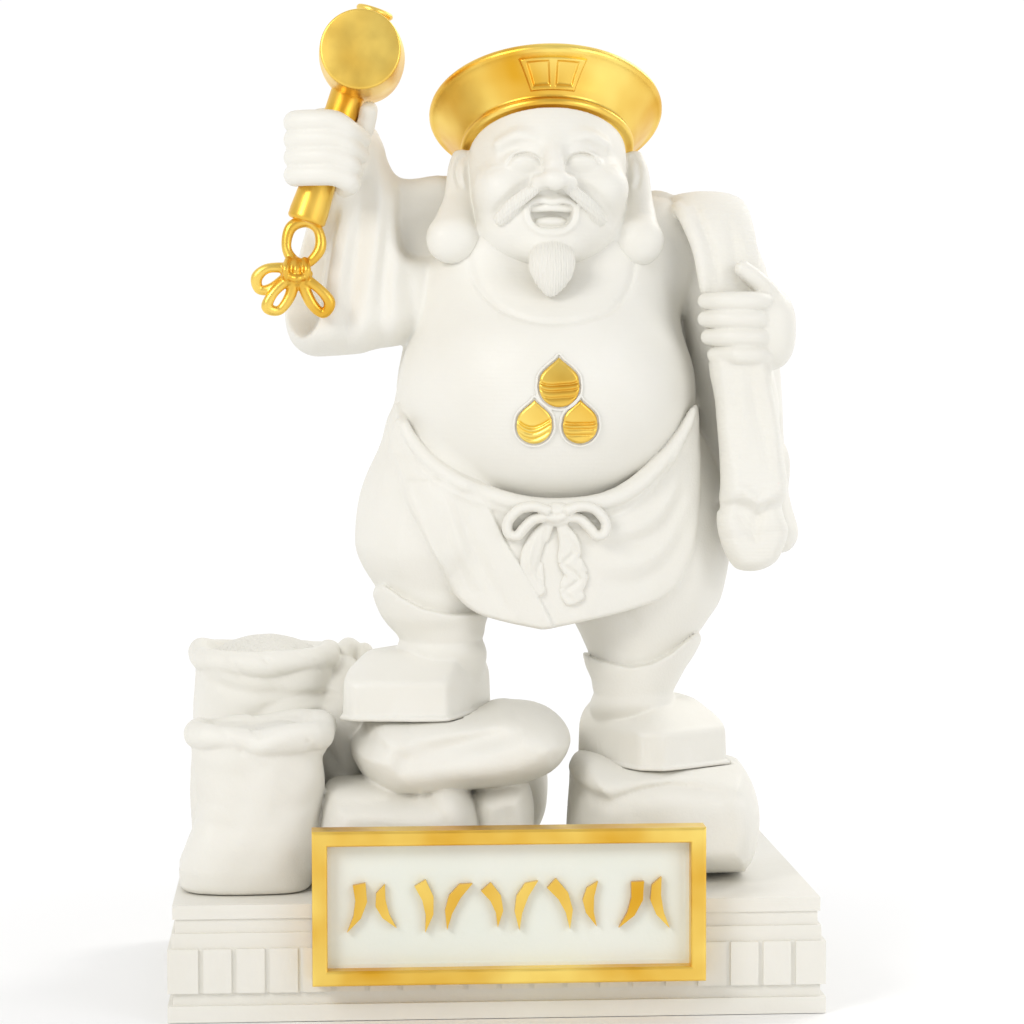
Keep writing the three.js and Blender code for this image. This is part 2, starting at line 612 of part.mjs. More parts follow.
function makeHat() {
  const band = HEAD.size[0] * SHARE + HAT_BAND_GAP;
  const rim = band + HAT_OVERHANG;
  const profile = new THREE.Path();
  profile.moveTo(0, -HAT_BEAD_RADIUS);
  profile.lineTo(band - HAT_BEAD_RADIUS, -HAT_BEAD_RADIUS);
  profile.absarc(band, 0, HAT_BEAD_RADIUS, -Math.PI / 2, Math.PI * 0.45, false);
  profile.lineTo(rim - HAT_LIP_RADIUS, HAT_FLARE_HEIGHT - HAT_LIP_RADIUS);
  profile.absarc(
    rim - HAT_LIP_RADIUS, HAT_FLARE_HEIGHT, HAT_LIP_RADIUS, -Math.PI / 2, Math.PI, false);
  profile.quadraticCurveTo(rim * 0.5, HAT_FLARE_HEIGHT + HAT_DOME_HEIGHT, 0,
    HAT_FLARE_HEIGHT + HAT_DOME_HEIGHT);
  const turned = new THREE.LatheGeometry(profile.getPoints(2), 16);
  turned.rotateX(Math.PI / 2).rotateX(-radians(HAT_TILT)).translate(...drawn(HAT_CENTRE).toArray());
  // The raised badge lies on the flare and has two windows sunk in it
  const lean = Math.atan2(rim - HAT_LIP_RADIUS - band, HAT_FLARE_HEIGHT - HAT_LIP_RADIUS);
  const onFlare = (outline, back, rise) => {
    const geometry = new THREE.ExtrudeGeometry(polygon(outline), {
      depth: rise - back, bevelEnabled: false,
    });
    geometry.rotateX(Math.PI / 2).translate(0, -back, 0).rotateX(lean).translate(0, -band, 0);
    return solid(geometry.rotateX(-radians(HAT_TILT)).translate(...drawn(HAT_CENTRE).toArray()));
  };
  const badge = onFlare([[-13, 7], [13, 7], [19, 27], [-19, 27]], -3, BADGE_RISE);
  const windows = [-1, 1].map((side) => onFlare(
    [[2, 10], [9, 10], [14, 24], [2.5, 24]].map(([x, z]) => [side * x, z]), BADGE_RISE - BADGE_DEPTH, 9));
  return cut(join([solid(turned), badge]), [mass({ ...HEAD, grow: CLEARANCE }), ...windows]);
}

// Mallet with its handle, cap and knotted cord
function makeMallet() {
  const front = drawn(MALLET_FACE);
  const back = front.clone().add(new THREE.Vector3(...MALLET_AXIS).setLength(MALLET_LENGTH));
  const profile = new THREE.Path();
  const half = MALLET_LENGTH / 2;
  profile.moveTo(0, -half);
  profile.lineTo(MALLET_RADIUS, -half);
  profile.quadraticCurveTo(MALLET_RADIUS + MALLET_BARREL * 2, 0, MALLET_RADIUS, half);
  profile.lineTo(0, half);
  const head = new THREE.LatheGeometry(profile.getPoints(2), 16);
  head.applyQuaternion(new THREE.Quaternion().setFromUnitVectors(
    new THREE.Vector3(0, 1, 0), back.clone().sub(front).normalize()));
  head.translate(...front.clone().add(back).multiplyScalar(0.5).toArray());
  const cord = (points, closed) => tube(points.map(drawn), CORD_RADIUS, { closed, steps: 7, sides: 4 });
  return join([
    solid(head),
    bar(handleAt(0), handleAt(1), HANDLE_RADIUS, 10),
    bar(handleAt(-0.03), handleAt(0.02), CAP_RADIUS, 10),
    cord([[-111, -40, 404], [-102, -41, 396], [-104, -42, 384], [-116, -42, 376],
      [-126, -41, 386], [-124, -40, 398]], true),
    mass({ at: [-117, -44, 373], size: [9.5, 9, 9], sides: 6, rows: 4 }),
    cord([[-122, -44, 375], [-138, -45, 380], [-147, -45, 371], [-136, -45, 363]], true),
    cord([[-120, -45, 370], [-134, -46, 362], [-138, -46, 350], [-126, -46, 352]], true),
    cord([[-114, -45, 372], [-100, -46, 364], [-94, -46, 350], [-108, -46, 352]], true),
  ]);
}

// Jewels: three drops that follow the belly's curve
function dropShape() {
  const half = JEWEL_WIDTH / 2;
  const drop = new THREE.Shape();
  drop.moveTo(0, JEWEL_LENGTH);
  drop.bezierCurveTo(-half * 0.3, JEWEL_LENGTH * 0.8, -half, JEWEL_LENGTH * 0.68, -half, half);
  drop.absarc(0, half, half, Math.PI, 2 * Math.PI, false);
  drop.bezierCurveTo(half, JEWEL_LENGTH * 0.68, half * 0.3, JEWEL_LENGTH * 0.8, 0, JEWEL_LENGTH);
  return drop;
}

function makeJewel([x, z]) {
  const plate = new THREE.ExtrudeGeometry(dropShape(), { depth: 60, curveSegments: 3, bevelEnabled: false });
  plate.rotateX(Math.PI / 2).translate(x * SHARE, -50 * SHARE, z * SHARE);
  return cut(solid(plate).intersect(mass({ ...BELLY, grow: CLEARANCE + JEWEL_RELIEF })),
    [mass({ ...BELLY, grow: CLEARANCE })]);
}

// Filled sacks
function openSack({ at: [x, y], radius, height, mound }) {
  const profile = new THREE.Path();
  profile.moveTo(0, 0);
  profile.lineTo(radius * 0.9, 0);
  profile.bezierCurveTo(
    radius * 1.14, height * 0.15, radius * 0.92, height * 0.6, radius * 0.96, height - 2 * ROLL_RADIUS);
  profile.absarc(radius * 0.96, height - ROLL_RADIUS, ROLL_RADIUS, -Math.PI / 2, Math.PI * 0.8, false);
  profile.quadraticCurveTo(radius * 0.6, height - ROLL_RADIUS + mound, 0, height - ROLL_RADIUS + mound);
  const turned = new THREE.LatheGeometry(profile.getPoints(2), 12);
  return solid(reshape(turned.scale(SHARE, SHARE, SHARE).rotateX(Math.PI / 2), (vertex) => {
    const angle = Math.atan2(vertex.y, vertex.x);
    const squareness = 1 - 0.05 * wave(angle, 4) + 0.02 * wave(angle, 7);
    vertex.x = vertex.x * squareness + x * SHARE;
    vertex.y = vertex.y * squareness * 0.88 + y * SHARE;
  }));
}

// Cuts a sack flat where it stands on the plinth
const standing = (body) => cut(body, [block(-600, 600, -600, 600, -300, CLEARANCE)]);

function makeSackHeap() {
  const upper = [[-86, 81], [-66, 54], [-29, 52], [12, 57], [42, 68], [50, 84], [32, 106], [-4, 106],
    [-70, 104]];
  const lowerLeft = [[-107, 40], [-97, 61], [-52, 63], [-18, 62], [-5, 34], [-14, -3], [-100, -3]];
  const lowerRight = [[-14, 46], [6, 62], [31, 52], [33, 24], [28, -3], [-12, -3]];
  return cut(standing(join([
    openSack({ at: [-142, -61], radius: 45, height: 101, mound: 2 }),
    openSack({ at: [-139, 26], radius: 48, height: 139, mound: 9 }),
    cushion(upper, 36, -98, 13, 14),
    cushion(lowerLeft, 6, -107, 14, 12, 1),
    cushion(lowerRight, 16, -86, 12, 11, 1),
    mass({ at: [-26, 44, 44], size: [68, 50, 48], sides: 8, rows: 5, square: 2.5 }),
    // Gathered cloth behind the left shoe, with its two knots
    mass({ at: [-90, 20, 70], size: [26, 40, 62], sides: 7, rows: 4 }),
    mass({ at: [-86, 30, 134], size: [8, 10, 8], sides: 6, rows: 4 }),
    mass({ at: [-76, 30, 130], size: [6.5, 9, 9], sides: 6, rows: 4 }),
  ])), [
    // Crease across the upper sack, and room for the shoes
    limb({
      route: [[-58, -97, 72], [-30, -101, 81], [-6, -101, 86], [20, -96, 88]], wide: [4, 6, 6, 3],
      deep: [4, 7, 7, 3], sides: 4, rows: 4,
    }),
    footprint(LEFT_SHOE), footprint(RIGHT_SHOE),
  ]);
}

function makeRightSack() {
  const outline = [[49, 62], [58, 76], [104, 72], [152, 71], [167, 48], [166, 16], [158, -3], [54, -3],
    [48, 30]];
  return cut(standing(cushion(outline, 34, -92, 13, 16)), [footprint(RIGHT_SHOE)]);
}

// Assembly
const model = new THREE.Group();
model.add(piece('plinth', makePlinth(), stone));

const carving = new THREE.Group();
carving.position.z = PLINTH_HEIGHT;
carving.add(piece('sack_heap', makeSackHeap(), stone));
carving.add(piece('right_sack', makeRightSack(), stone));
carving.add(piece('figure', makeFigure(), stone));
carving.add(piece('hat', makeHat(), gold));
carving.add(piece('mallet', makeMallet(), gold));
Object.entries(JEWELS).forEach(([name, place]) => carving.add(piece(name, makeJewel(place), gold)));
model.add(carving);

const plaque = new THREE.Group();
plaque.position.set(PLAQUE_CENTRE_X, 0, PLAQUE_BOTTOM + PLAQUE_HEIGHT / 2);
plaque.add(piece('plaque_frame', makeFrame(), gold));
plaque.add(piece('plaque_panel', makePanel(), panelStone));
for (let i = 0; i < STROKE_COUNT; i += 1) {
  const stroke = piece(`plaque_stroke_${String(i + 1).padStart(2, '0')}`, makeStroke(i), gold);
  stroke.position.x = (i - (STROKE_COUNT - 1) / 2) * STROKE_PITCH;
  plaque.add(stroke);
}
model.add(plaque);

export default model;
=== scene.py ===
import math
from collections import namedtuple

import bpy
import numpy as np
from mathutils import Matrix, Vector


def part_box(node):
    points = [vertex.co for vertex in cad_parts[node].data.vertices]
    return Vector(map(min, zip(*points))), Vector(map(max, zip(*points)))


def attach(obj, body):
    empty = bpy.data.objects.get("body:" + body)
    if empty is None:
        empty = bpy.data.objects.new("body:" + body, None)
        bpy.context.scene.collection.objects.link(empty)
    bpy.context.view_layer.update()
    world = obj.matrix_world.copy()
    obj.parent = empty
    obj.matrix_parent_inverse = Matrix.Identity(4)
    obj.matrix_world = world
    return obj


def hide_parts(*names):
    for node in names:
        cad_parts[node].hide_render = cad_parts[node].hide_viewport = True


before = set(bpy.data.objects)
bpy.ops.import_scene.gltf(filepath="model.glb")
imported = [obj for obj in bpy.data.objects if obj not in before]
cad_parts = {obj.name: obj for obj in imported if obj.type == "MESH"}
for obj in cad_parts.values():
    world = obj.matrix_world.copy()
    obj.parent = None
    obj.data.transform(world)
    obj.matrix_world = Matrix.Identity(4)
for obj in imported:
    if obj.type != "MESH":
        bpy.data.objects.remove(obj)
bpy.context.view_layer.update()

import openvdb
from mathutils import Euler, Matrix, Vector

# Sculpting works in millimetres, with z = 0 on top of the plinth, where the sacks stand
MM = 0.001
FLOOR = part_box("plinth")[1][2]
MIDDLE = 38.0
FRONT, UP, ACROSS = (0, -1, 0), (0, 0, 1), (1, 0, 0)
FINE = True

# Kinds of carved surface, each with its own finish
SKIN, CLOTH, RIBBED, HAIR, GRAIN, SHOE = range(6)

# A solid form: the corners of its box, and its signed distance in millimetres
Shape = namedtuple("Shape", "low high distance")


def array(values):
    return np.asarray(values, np.float32)


def unit(v):
    return v / max(float(np.linalg.norm(v)), 1e-9)


def smooth_min(a, b, k):
    """The lower of two distances, with a fillet of about k where they meet."""
    if k <= 0:
        return np.minimum(a, b)
    h = np.clip(0.5 + 0.5 * (b - a) / k, 0, 1)
    return b + (a - b) * h - k * h * (1 - h)


def smooth_max(a, b, k):
    return -smooth_min(-a, -b, k)


def step(value, low, high):
    t = np.clip((value - low) / (high - low), 0, 1)
    return t * t * (3 - 2 * t)


def spline(points, per_span=6):
    """A smooth curve through the points, which may hold any number of values each."""
    p = np.asarray(points, float)
    closed = len(p) > 3 and np.allclose(p[0], p[-1])
    p = np.vstack([p[-2], p, p[1]] if closed else [2 * p[0] - p[1], p, 2 * p[-1] - p[-2]])
    curve = [0.5 * (2 * b + (c - a) * t + (2 * a - 5 * b + 4 * c - d) * t * t + (3 * b - a - 3 * c + d) * t ** 3)
             for a, b, c, d in zip(p, p[1:], p[2:], p[3:]) for t in (s / per_span for s in range(per_span))]
    return np.array(curve + [p[-2]])


def ring(points):
    """The same points as a closed route."""
    return list(points) + [points[0]]


def sides(outline):
    """Each corner of an outline, with the outward direction of the side that follows it."""
    for (x0, y0), (x1, y1) in zip(outline, outline[1:] + outline[:1]):
        yield (x0, y0), np.array((y1 - y0, x0 - x1)) / math.hypot(x1 - x0, y1 - y0)


def mass(at, size, turn=(0, 0, 0), power=2.0):
    """A rounded mass. A power over 2 makes it boxier."""
    at, size = array(at), array(size)
    spin = array(Euler([math.radians(a) for a in turn]).to_matrix())
    reach = np.abs(spin) @ size

    def distance(x, y, z):
        p = (x - at[0], y - at[1], z - at[2])
        if any(turn):
            p = [spin[0, i] * p[0] + spin[1, i] * p[1] + spin[2, i] * p[2] for i in range(3)]
        q = [np.abs(p[i]) / size[i] + 1e-5 for i in range(3)]
        norm = (q[0] ** power + q[1] ** power + q[2] ** power) ** (1 / power)
        slope = np.sqrt(sum((q[i] ** (power - 1) / size[i]) ** 2 for i in range(3))) * norm ** (1 - power)
        return (norm - 1) / slope

    return Shape(at - reach, at + reach, distance)


def limb(route, wide, deep=None, facing=FRONT, per_span=5):
    """A rounded body along a route, with a half-width and a half-depth at each point."""
    wide = np.broadcast_to(wide, len(route))
    deep = wide if deep is None else np.broadcast_to(deep, len(route))
    line = spline(np.column_stack((route, wide, deep)), per_span)
    centres, sizes = line[:, :3], np.maximum(line[:, 3:], 0.3)
    reach, far, margin = sizes.max(axis=1)[:, None], 40, 8

    def distance(x, y, z):
        out = np.full(np.broadcast_shapes(x.shape, y.shape, z.shape), far, np.float32)
        axes = (x.ravel(), y.ravel(), z.ravel())
        for a, b, sa, sb in zip(centres[:-1], centres[1:], sizes[:-1], sizes[1:]):
            pad = max(sa.max(), sb.max()) + margin
            near = tuple(slice(*np.searchsorted(axes[i], (min(a[i], b[i]) - pad, max(a[i], b[i]) + pad)))
                         for i in range(3))
            part = out[near]
            if part.size == 0:
                continue
            p = (x[near[0]] - a[0], y[:, near[1]] - a[1], z[:, :, near[2]] - a[2])
            length = max(float(np.linalg.norm(b - a)), 1e-6)
            along = (b - a) / length
            across = unit(np.cross(facing, along))
            s, u, w = (p[0] * way[0] + p[1] * way[1] + p[2] * way[2]
                       for way in (along, across, np.cross(along, across)))
            t = np.clip(s / length, 0, 1)
            g = s - t * length
            rw, rd = sa[0] + t * (sb[0] - sa[0]), sa[1] + t * (sb[1] - sa[1])
            rg = np.minimum(rw, rd)
            k0 = np.sqrt((u / rw) ** 2 + (w / rd) ** 2 + (g / rg) ** 2)
            k1 = np.sqrt((u / rw ** 2) ** 2 + (w / rd ** 2) ** 2 + (g / rg ** 2) ** 2) + 1e-6
            part[...] = np.minimum(part, np.where(k0 < 0.02, -rg, k0 * (k0 - 1) / k1))
        return out

    return Shape((centres - reach).min(axis=0), (centres + reach).max(axis=0), distance)


def column(levels):
    """An upright body through levels (height, centre x and y, half-width, half-depth), top first."""
    line = spline(levels, 5)[::-1]
    heights, centres, halves = line[:, 0], line[:, 1:3], line[:, 3:]
    lean = np.gradient(halves[:, 0], heights)

    def distance(x, y, z):
        at = z.ravel()
        cx, cy, wide, deep = (np.interp(at, heights, line[:, i]).astype(np.float32) for i in (1, 2, 3, 4))
        slant = np.sqrt(1 + np.clip(np.interp(at, heights, lean), -2, 2) ** 2)
        px, py = (x - cx) / wide, (y - cy) / deep
        norm = np.sqrt(px * px + py * py) + 1e-4
        slope = np.sqrt((px / wide) ** 2 + (py / deep) ** 2) / norm + 1e-5
        ends = np.maximum(z - heights[-1], heights[0] - z)
        return np.maximum((norm - 1) / (slope * slant), ends).astype(np.float32)

    return Shape((*(centres - halves).min(axis=0), heights.min()), (*(centres + halves).max(axis=0), heights.max()),
                 distance)


def facets(planes, low, high, edge=1.2):
    """A convex block between planes (point, outward normal), with slightly worn edges."""
    def distance(x, y, z):
        out = None
        for point, normal in planes:
            n = unit(np.asarray(normal, float))
            d = (x - point[0]) * n[0] + (y - point[1]) * n[1] + (z - point[2]) * n[2]
            out = d if out is None else smooth_max(out, d, edge)
        return out.astype(np.float32)

    return Shape(low, high, distance)


def to_segment(a, b, x, z):
    """Where points lie along a segment of the x-z plane, their squared distance to it, and on which side."""
    ex, ez, wx, wz = b[0] - a[0], b[1] - a[1], x - a[0], z - a[1]
    t = np.clip((wx * ex + wz * ez) / (ex * ex + ez * ez + 1e-9), 0, 1)
    return t, (wx - ex * t) ** 2 + (wz - ez * t) ** 2, ex * wz - ez * wx


def outline_distance(line, x, z):
    """Signed distance in the x-z plane to a closed line, negative inside."""
    shape = np.broadcast_shapes(x.shape, z.shape)
    nearest, outside = np.full(shape, 1e9, np.float32), np.ones(shape, bool)
    for a, b in zip(line, np.roll(line, -1, axis=0)):
        _, far, side = to_segment(a, b, x, z)
        nearest = np.minimum(nearest, far)
        above, below, left = z >= a[1], z < b[1], side > 0
        outside ^= (above & below & left) | (~above & ~below & ~left)
    return np.where(outside, 1, -1) * np.sqrt(nearest)


def pillow(outline, front, back, edge, deep=None):
    """A body with an outline (x, z), between a front and a back surface y, rounded over its edge."""
    line = spline(ring(outline), 4)[:-1]
    deep = deep or (front, back)

    def distance(x, y, z):
        f, b = (side(x, z) if callable(side) else side for side in (front, back))
        middle, half = (f + b) / 2, (b - f) / 2
        u = np.clip(outline_distance(line, x, z) + edge, 0, None) / edge
        v = (y - middle) / half
        r = np.maximum(np.sqrt(u * u + v * v), 1e-3)
        d = (r - 1) * r / (np.sqrt((u / edge) ** 2 + (v / half) ** 2) + 1e-4)
        if callable(front) and f.shape[0] > 1 and f.shape[2] > 1:
            cell = float(x.ravel()[1] - x.ravel()[0])
            lean = np.gradient(f, cell, axis=0) ** 2 + np.gradient(f, cell, axis=2) ** 2
            d = d / np.sqrt(1 + np.minimum(lean, 6))
        return d.astype(np.float32)

    (x0, z0), (x1, z1) = line.min(axis=0), line.max(axis=0)
    return Shape((x0, deep[0], z0), (x1, deep[1], z1), distance)


def relief(routes):
    """Carved lines as a height over x and z: each is a route (x, z), a height and the widths of its two sides."""
    lines = [(spline(route, 5), *sizes) for route, *sizes in routes]

    def height_at(x, z):
        total = np.zeros(np.broadcast_shapes(x.shape, z.shape), np.float32)
        for line, height, left, right in lines:
            reach = 2.6 * max(left, right)
            i, k = (slice(*np.searchsorted(values.ravel(), (line[:, a].min() - reach, line[:, a].max() + reach)))
                    for a, values in enumerate((x, z)))
            px, pz = x[i], z[:, :, k]
            shape = np.broadcast_shapes(px.shape, pz.shape)
            if 0 in shape:
                continue
            best, side, along = np.full(shape, 1e9, np.float32), np.zeros(shape), np.zeros(shape)
            for n, (a, b) in enumerate(zip(line[:-1], line[1:])):
                t, far, turn = to_segment(a, b, px, pz)
                near = far < best
                best, side = np.where(near, far, best), np.where(near, turn, side)
                along = np.where(near, (n + t) / (len(line) - 1), along)
            width = np.where(side > 0, left, right)
            total[i, :, k] += height * np.exp(-best / width ** 2) * np.sin(np.pi * along) ** 0.5
        return total

    return height_at


def blurred(field, times):
    """A field over x and z smoothed over its neighbours, by turns along each axis."""
    for _ in range(2 * times):
        padded = np.pad(field, ((1, 1), (0, 0)), mode="edge")
        field = ((padded[:-2] + 2 * padded[1:-1] + padded[2:]) / 4).T
    return field


class Clay:
    """Clay on a regular grid: a signed distance in millimetres, and the kind of surface at each cell."""

    FAR = 30.0

    def __init__(self, low, high, cell):
        self.low, self.cell = np.asarray(low, float), cell
        self.count = (np.ceil((np.asarray(high, float) - self.low) / cell) + 1).astype(int)
        self.d = np.full(self.count, self.FAR, np.float32)
        self.kind = np.zeros(self.count, np.uint8)

    def window(self, low, high, margin):
        low, high = np.asarray(low, float) - margin, np.asarray(high, float) + margin
        first = np.clip(np.floor((low - self.low) / self.cell), 0, self.count - 1).astype(int)
        last = np.clip(np.ceil((high - self.low) / self.cell) + 1, 1, self.count).astype(int)
        cells = tuple(slice(a, max(b, a + 1)) for a, b in zip(first, last))
        x, y, z = (array(self.low[i] + np.arange(c.start, c.stop) * self.cell) for i, c in enumerate(cells))
        return cells, x[:, None, None], y[None, :, None], z[None, None, :]

    def measured(self, shape, blend):
        cells, x, y, z = self.window(shape.low, shape.high, blend + 3 * self.cell + 1)
        return cells, shape.distance(x, y, z)

    def add(self, shape, blend=0.0, kind=None):
        cells, new = self.measured(shape, blend)
        if kind is not None:
            self.kind[cells] = np.where(new < self.d[cells], kind, self.kind[cells])
        self.d[cells] = smooth_min(self.d[cells], new, blend)

    def cut(self, shape, blend=0.0):
        cells, new = self.measured(shape, blend)
        self.d[cells] = smooth_max(self.d[cells], -new, blend)

    def press(self, low, high, depth, only=None):
        """Lowers the surface by depth(x, y, z), or raises it where that is negative."""
        cells, x, y, z = self.window(low, high, 0)
        self.d[cells] += depth(x, y, z) * (1 if only is None else self.kind[cells] == only)

    def carve(self, routes, back=0.0, fade=10.0):
        """Raises and sinks carved lines on the front, fading out towards the depth y = back."""
        points = np.vstack([np.asarray(route, float) for route, *_ in routes])
        (x0, z0), (x1, z1) = points.min(axis=0), points.max(axis=0)
        cells, x, y, z = self.window((x0, -300, z0), (x1, back, z1), 20)
        self.d[cells] -= relief(routes)(x, z) * step(back - y, 0, fade)

    def front_map(self, nothing):
        """Depth y of the first surface met from the front, over all x and z, or else the value for nothing."""
        hit = self.d < 0
        first = np.argmax(hit, axis=1)[:, None, :]
        at = np.take_along_axis(self.d, first, axis=1)[:, 0]
        before = np.take_along_axis(self.d, np.maximum(first - 1, 0), axis=1)[:, 0]
        part = before / np.maximum(before - at, 1e-6)
        return np.where(hit.any(axis=1), self.low[1] + (first[:, 0] - 1 + part) * self.cell, nothing)

    def nearest(self, values, axis):
        cell = np.rint((np.asarray(values) - self.low[axis]) / self.cell)
        return np.clip(cell, 0, self.count[axis] - 1).astype(int)

    def over(self, field):
        """A function of x and z that looks a field over the grid up."""
        return lambda x, z: field[np.ix_(self.nearest(x.ravel(), 0), self.nearest(z.ravel(), 2))][:, None, :].astype(
            np.float32)

    def laid(self, line, sink):
        """A line (x, z) drawn from the front, laid on the surface and sunk into it."""
        line = np.asarray(line, float)
        y = self.front_map(np.nan)[self.nearest(line[:, 0], 0), self.nearest(line[:, 1], 2)]
        good = np.flatnonzero(~np.isnan(y))
        y = np.interp(np.arange(len(y)), good, y[good])
        y = np.convolve(np.pad(y, 1, mode="edge"), [0.25, 0.5, 0.25], mode="valid")
        return [(a, b + sink, c) for (a, c), b in zip(line, y)]

    def ridge(self, route, size, proud, blend, kind=None, ends=0.35):
        points = self.laid(spline(route, 6), size - proud)
        taper = ends + (1 - ends) * np.sin(np.pi * np.linspace(0, 1, len(points))) ** 0.6
        self.add(limb(points, size * taper, per_span=1), blend, kind)

    def mesh(self, most):
        """A mesh in metres in the frame, with the kind of surface as the material of each face."""
        band = 3 * self.cell
        solid = np.clip(self.d, -band, band)
        for face in (0, -1):
            solid[face] = solid[:, face] = solid[:, :, face] = band
        grid = openvdb.FloatGrid(background=band)
        grid.copyFromArray(np.ascontiguousarray(solid))
        points, quads = grid.convertToQuads(0.0)
        places = (points * self.cell + self.low) * MM
        places[:, 2] += FLOOR
        mesh = thinned(new_mesh(places.tolist(), quads.tolist()), most)
        centres = np.empty(len(mesh.polygons) * 3, np.float32)
        mesh.polygons.foreach_get("center", centres)
        centres = centres.reshape(-1, 3) / MM - [0, 0, FLOOR / MM]
        cells = tuple(self.nearest(centres[:, i], i) for i in range(3))
        mesh.polygons.foreach_set("material_index", self.kind[cells].astype(np.int32))
        return mesh


def new_mesh(verts, faces):
    mesh = bpy.data.meshes.new("form")
    mesh.from_pydata(verts, [], faces)
    return mesh


def added(name, data):
    """A new object in the scene."""
    obj = bpy.data.objects.new(name, data)
    bpy.context.scene.collection.objects.link(obj)
    return obj


def thinned(mesh, most):
    """The mesh with at most that many triangles."""
    triangles = sum(len(p.vertices) - 2 for p in mesh.polygons)
    if triangles <= most:
        return mesh
    temporary = added("temporary", mesh)
    temporary.modifiers.new("fewer", "DECIMATE").ratio = most / triangles
    result = bpy.data.meshes.new_from_object(temporary.evaluated_get(bpy.context.evaluated_depsgraph_get()))
    bpy.data.objects.remove(temporary)
    return result


def put(name, mesh, materials, node):
    """Makes a piece of the mesh, in the place of a CAD node."""
    mesh.name = name
    for material in materials:
        mesh.materials.append(material)
    mesh.polygons.foreach_set("use_smooth", [True] * len(mesh.polygons))
    obj = added(name, mesh)
    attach(obj, "root")
    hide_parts(node)
    return obj


def joined(meshes):
    """Several meshes as one."""
    verts, faces, kinds = [], [], []
    for mesh in meshes:
        faces += [[len(verts) + i for i in p.vertices] for p in mesh.polygons]
        kinds += [p.material_index for p in mesh.polygons]
        verts += [tuple(v.co) for v in mesh.vertices]
    whole = new_mesh(verts, faces)
    whole.polygons.foreach_set("material_index", kinds)
    return whole


def placed(mesh, matrix=Matrix()):
    """The mesh moved by a matrix in sculpting millimetres, then into the frame."""
    mesh.transform(Matrix.Translation((0, 0, FLOOR)) @ Matrix.Scale(MM, 4) @ matrix)
    return mesh


def lathe(profile, segments):
    """Turns a profile of (radius, height), whose ends lie on the axis, about Z."""
    verts, rings = [(0, 0, profile[0][1])], profile[1:-1]
    turns = [2 * math.pi * i / segments for i in range(segments)]
    verts += [(radius * math.cos(a), radius * math.sin(a), height) for radius, height in rings for a in turns]
    verts.append((0, 0, profile[-1][1]))
    top, faces = len(verts) - 1 - segments, []
    for i in range(segments):
        j = (i + 1) % segments
        faces.append((0, 1 + j, 1 + i))
        faces += [(a + i, a + j, a + segments + j, a + segments + i) for a in range(1, top, segments)]
        faces.append((len(verts) - 1, top + i, top + j))
    return new_mesh(verts, faces)


# Finishes


def fill(tree, node, inputs):
    """Sets a node's inputs, or links them where a socket is given. An underscore in a name stands for a space."""
    for name, value in inputs.items():
        socket = node.inputs[name.replace("_", " ")]
        if isinstance(value, bpy.types.NodeSocket):
            tree.links.new(value, socket)
        else:
            socket.default_value = value


def node(tree, kind, **inputs):
    made = tree.nodes.new("ShaderNode" + kind)
    fill(tree, made, inputs)
    return made


def shader(name, base, roughness, metallic=0.0):
    material = bpy.data.materials.new(name)
    material.use_nodes = True
    tree = material.node_tree
    bsdf = tree.nodes["Principled BSDF"]
    fill(tree, bsdf, {"Base Color": (*base, 1), "Roughness": roughness, "Metallic": metallic})
    return material, tree, bsdf, node(tree, "TexCoord").outputs["Object"]


def noise(tree, place, scale, detail=2.0):
    return node(tree, "TexNoise", Vector=place, Scale=scale, Detail=detail).outputs["Fac"]


def spread(tree, value, low, high):
    """Maps the middle of a texture's range to low..high."""
    return node(tree, "MapRange", Value=value, From_Min=0.3, From_Max=0.7, To_Min=low, To_Max=high).outputs["Result"]


def tinted(tree, value, dark, light):
    ramp = node(tree, "ValToRGB", Fac=value)
    for element, position, colour in zip(ramp.color_ramp.elements, (0.3, 0.7), (dark, light)):
        element.position, element.color = position, (*colour, 1)
    return ramp.outputs["Color"]


def bumped(tree, bsdf, heights):
    """Stacks bumps (height socket, distance in metres, strength)."""
    normal = {}
    for height, distance, strength in heights:
        bump = node(tree, "Bump", Height=height, Distance=distance, Strength=strength, **normal)
        normal = {"Normal": bump.outputs["Normal"]}
    fill(tree, bsdf, normal)


def ribs(tree, place, pitch, direction):
    """Fine carved ribs at a pitch in metres. At scale 1 the texture repeats every 2 pi / 20."""
    wave = node(tree, "TexWave", Vector=place, Scale=2 * math.pi / (20 * pitch), Distortion=1.2, Detail=1.0,
                Detail_Scale=1.0)
    wave.wave_type, wave.bands_direction = "BANDS", direction
    return wave.outputs["Fac"]


def stone(name, roughness, grain=(420.0, 0.00025, 0.35), rib=None, light=(0.81, 0.795, 0.74),
          dark=(0.775, 0.755, 0.69)):
    material, tree, bsdf, place = shader(name, light, roughness)
    speck = noise(tree, place, grain[0])
    fill(tree, bsdf, {
        "Base Color": tinted(tree, noise(tree, place, 14.0, 4.0), dark, light),
        "Roughness": spread(tree, speck, roughness - 0.07, roughness + 0.07),
        "Subsurface Weight": 0.04, "Subsurface Radius": (1.0, 0.85, 0.6), "Subsurface Scale": 0.004})
    heights = [(speck, *grain[1:]), (noise(tree, place, 60.0), 0.0006, 0.25)]
    if rib:
        heights.append((ribs(tree, place, *rib[:2]), *rib[2:]))
    bumped(tree, bsdf, heights)
    return material


def gilding(name):
    material, tree, bsdf, place = shader(name, (0.86, 0.52, 0.07), 0.34, 1.0)
    # The base colour mixes deep orange and pale yellow in large noise blotches: partly the gilding's own uneven tone,
    # partly painted highlight and painted shade.
    fill(tree, bsdf, {
        "Base Color": tinted(tree, noise(tree, place, 20.0), (0.76, 0.40, 0.028), (1.0, 0.75, 0.19)),
        "Roughness": spread(tree, noise(tree, place, 90.0), 0.3, 0.4)})
    bumped(tree, bsdf, [(noise(tree, place, 420.0), 0.0001, 0.1), (noise(tree, place, 55.0), 0.0006, 0.12)])
    return material


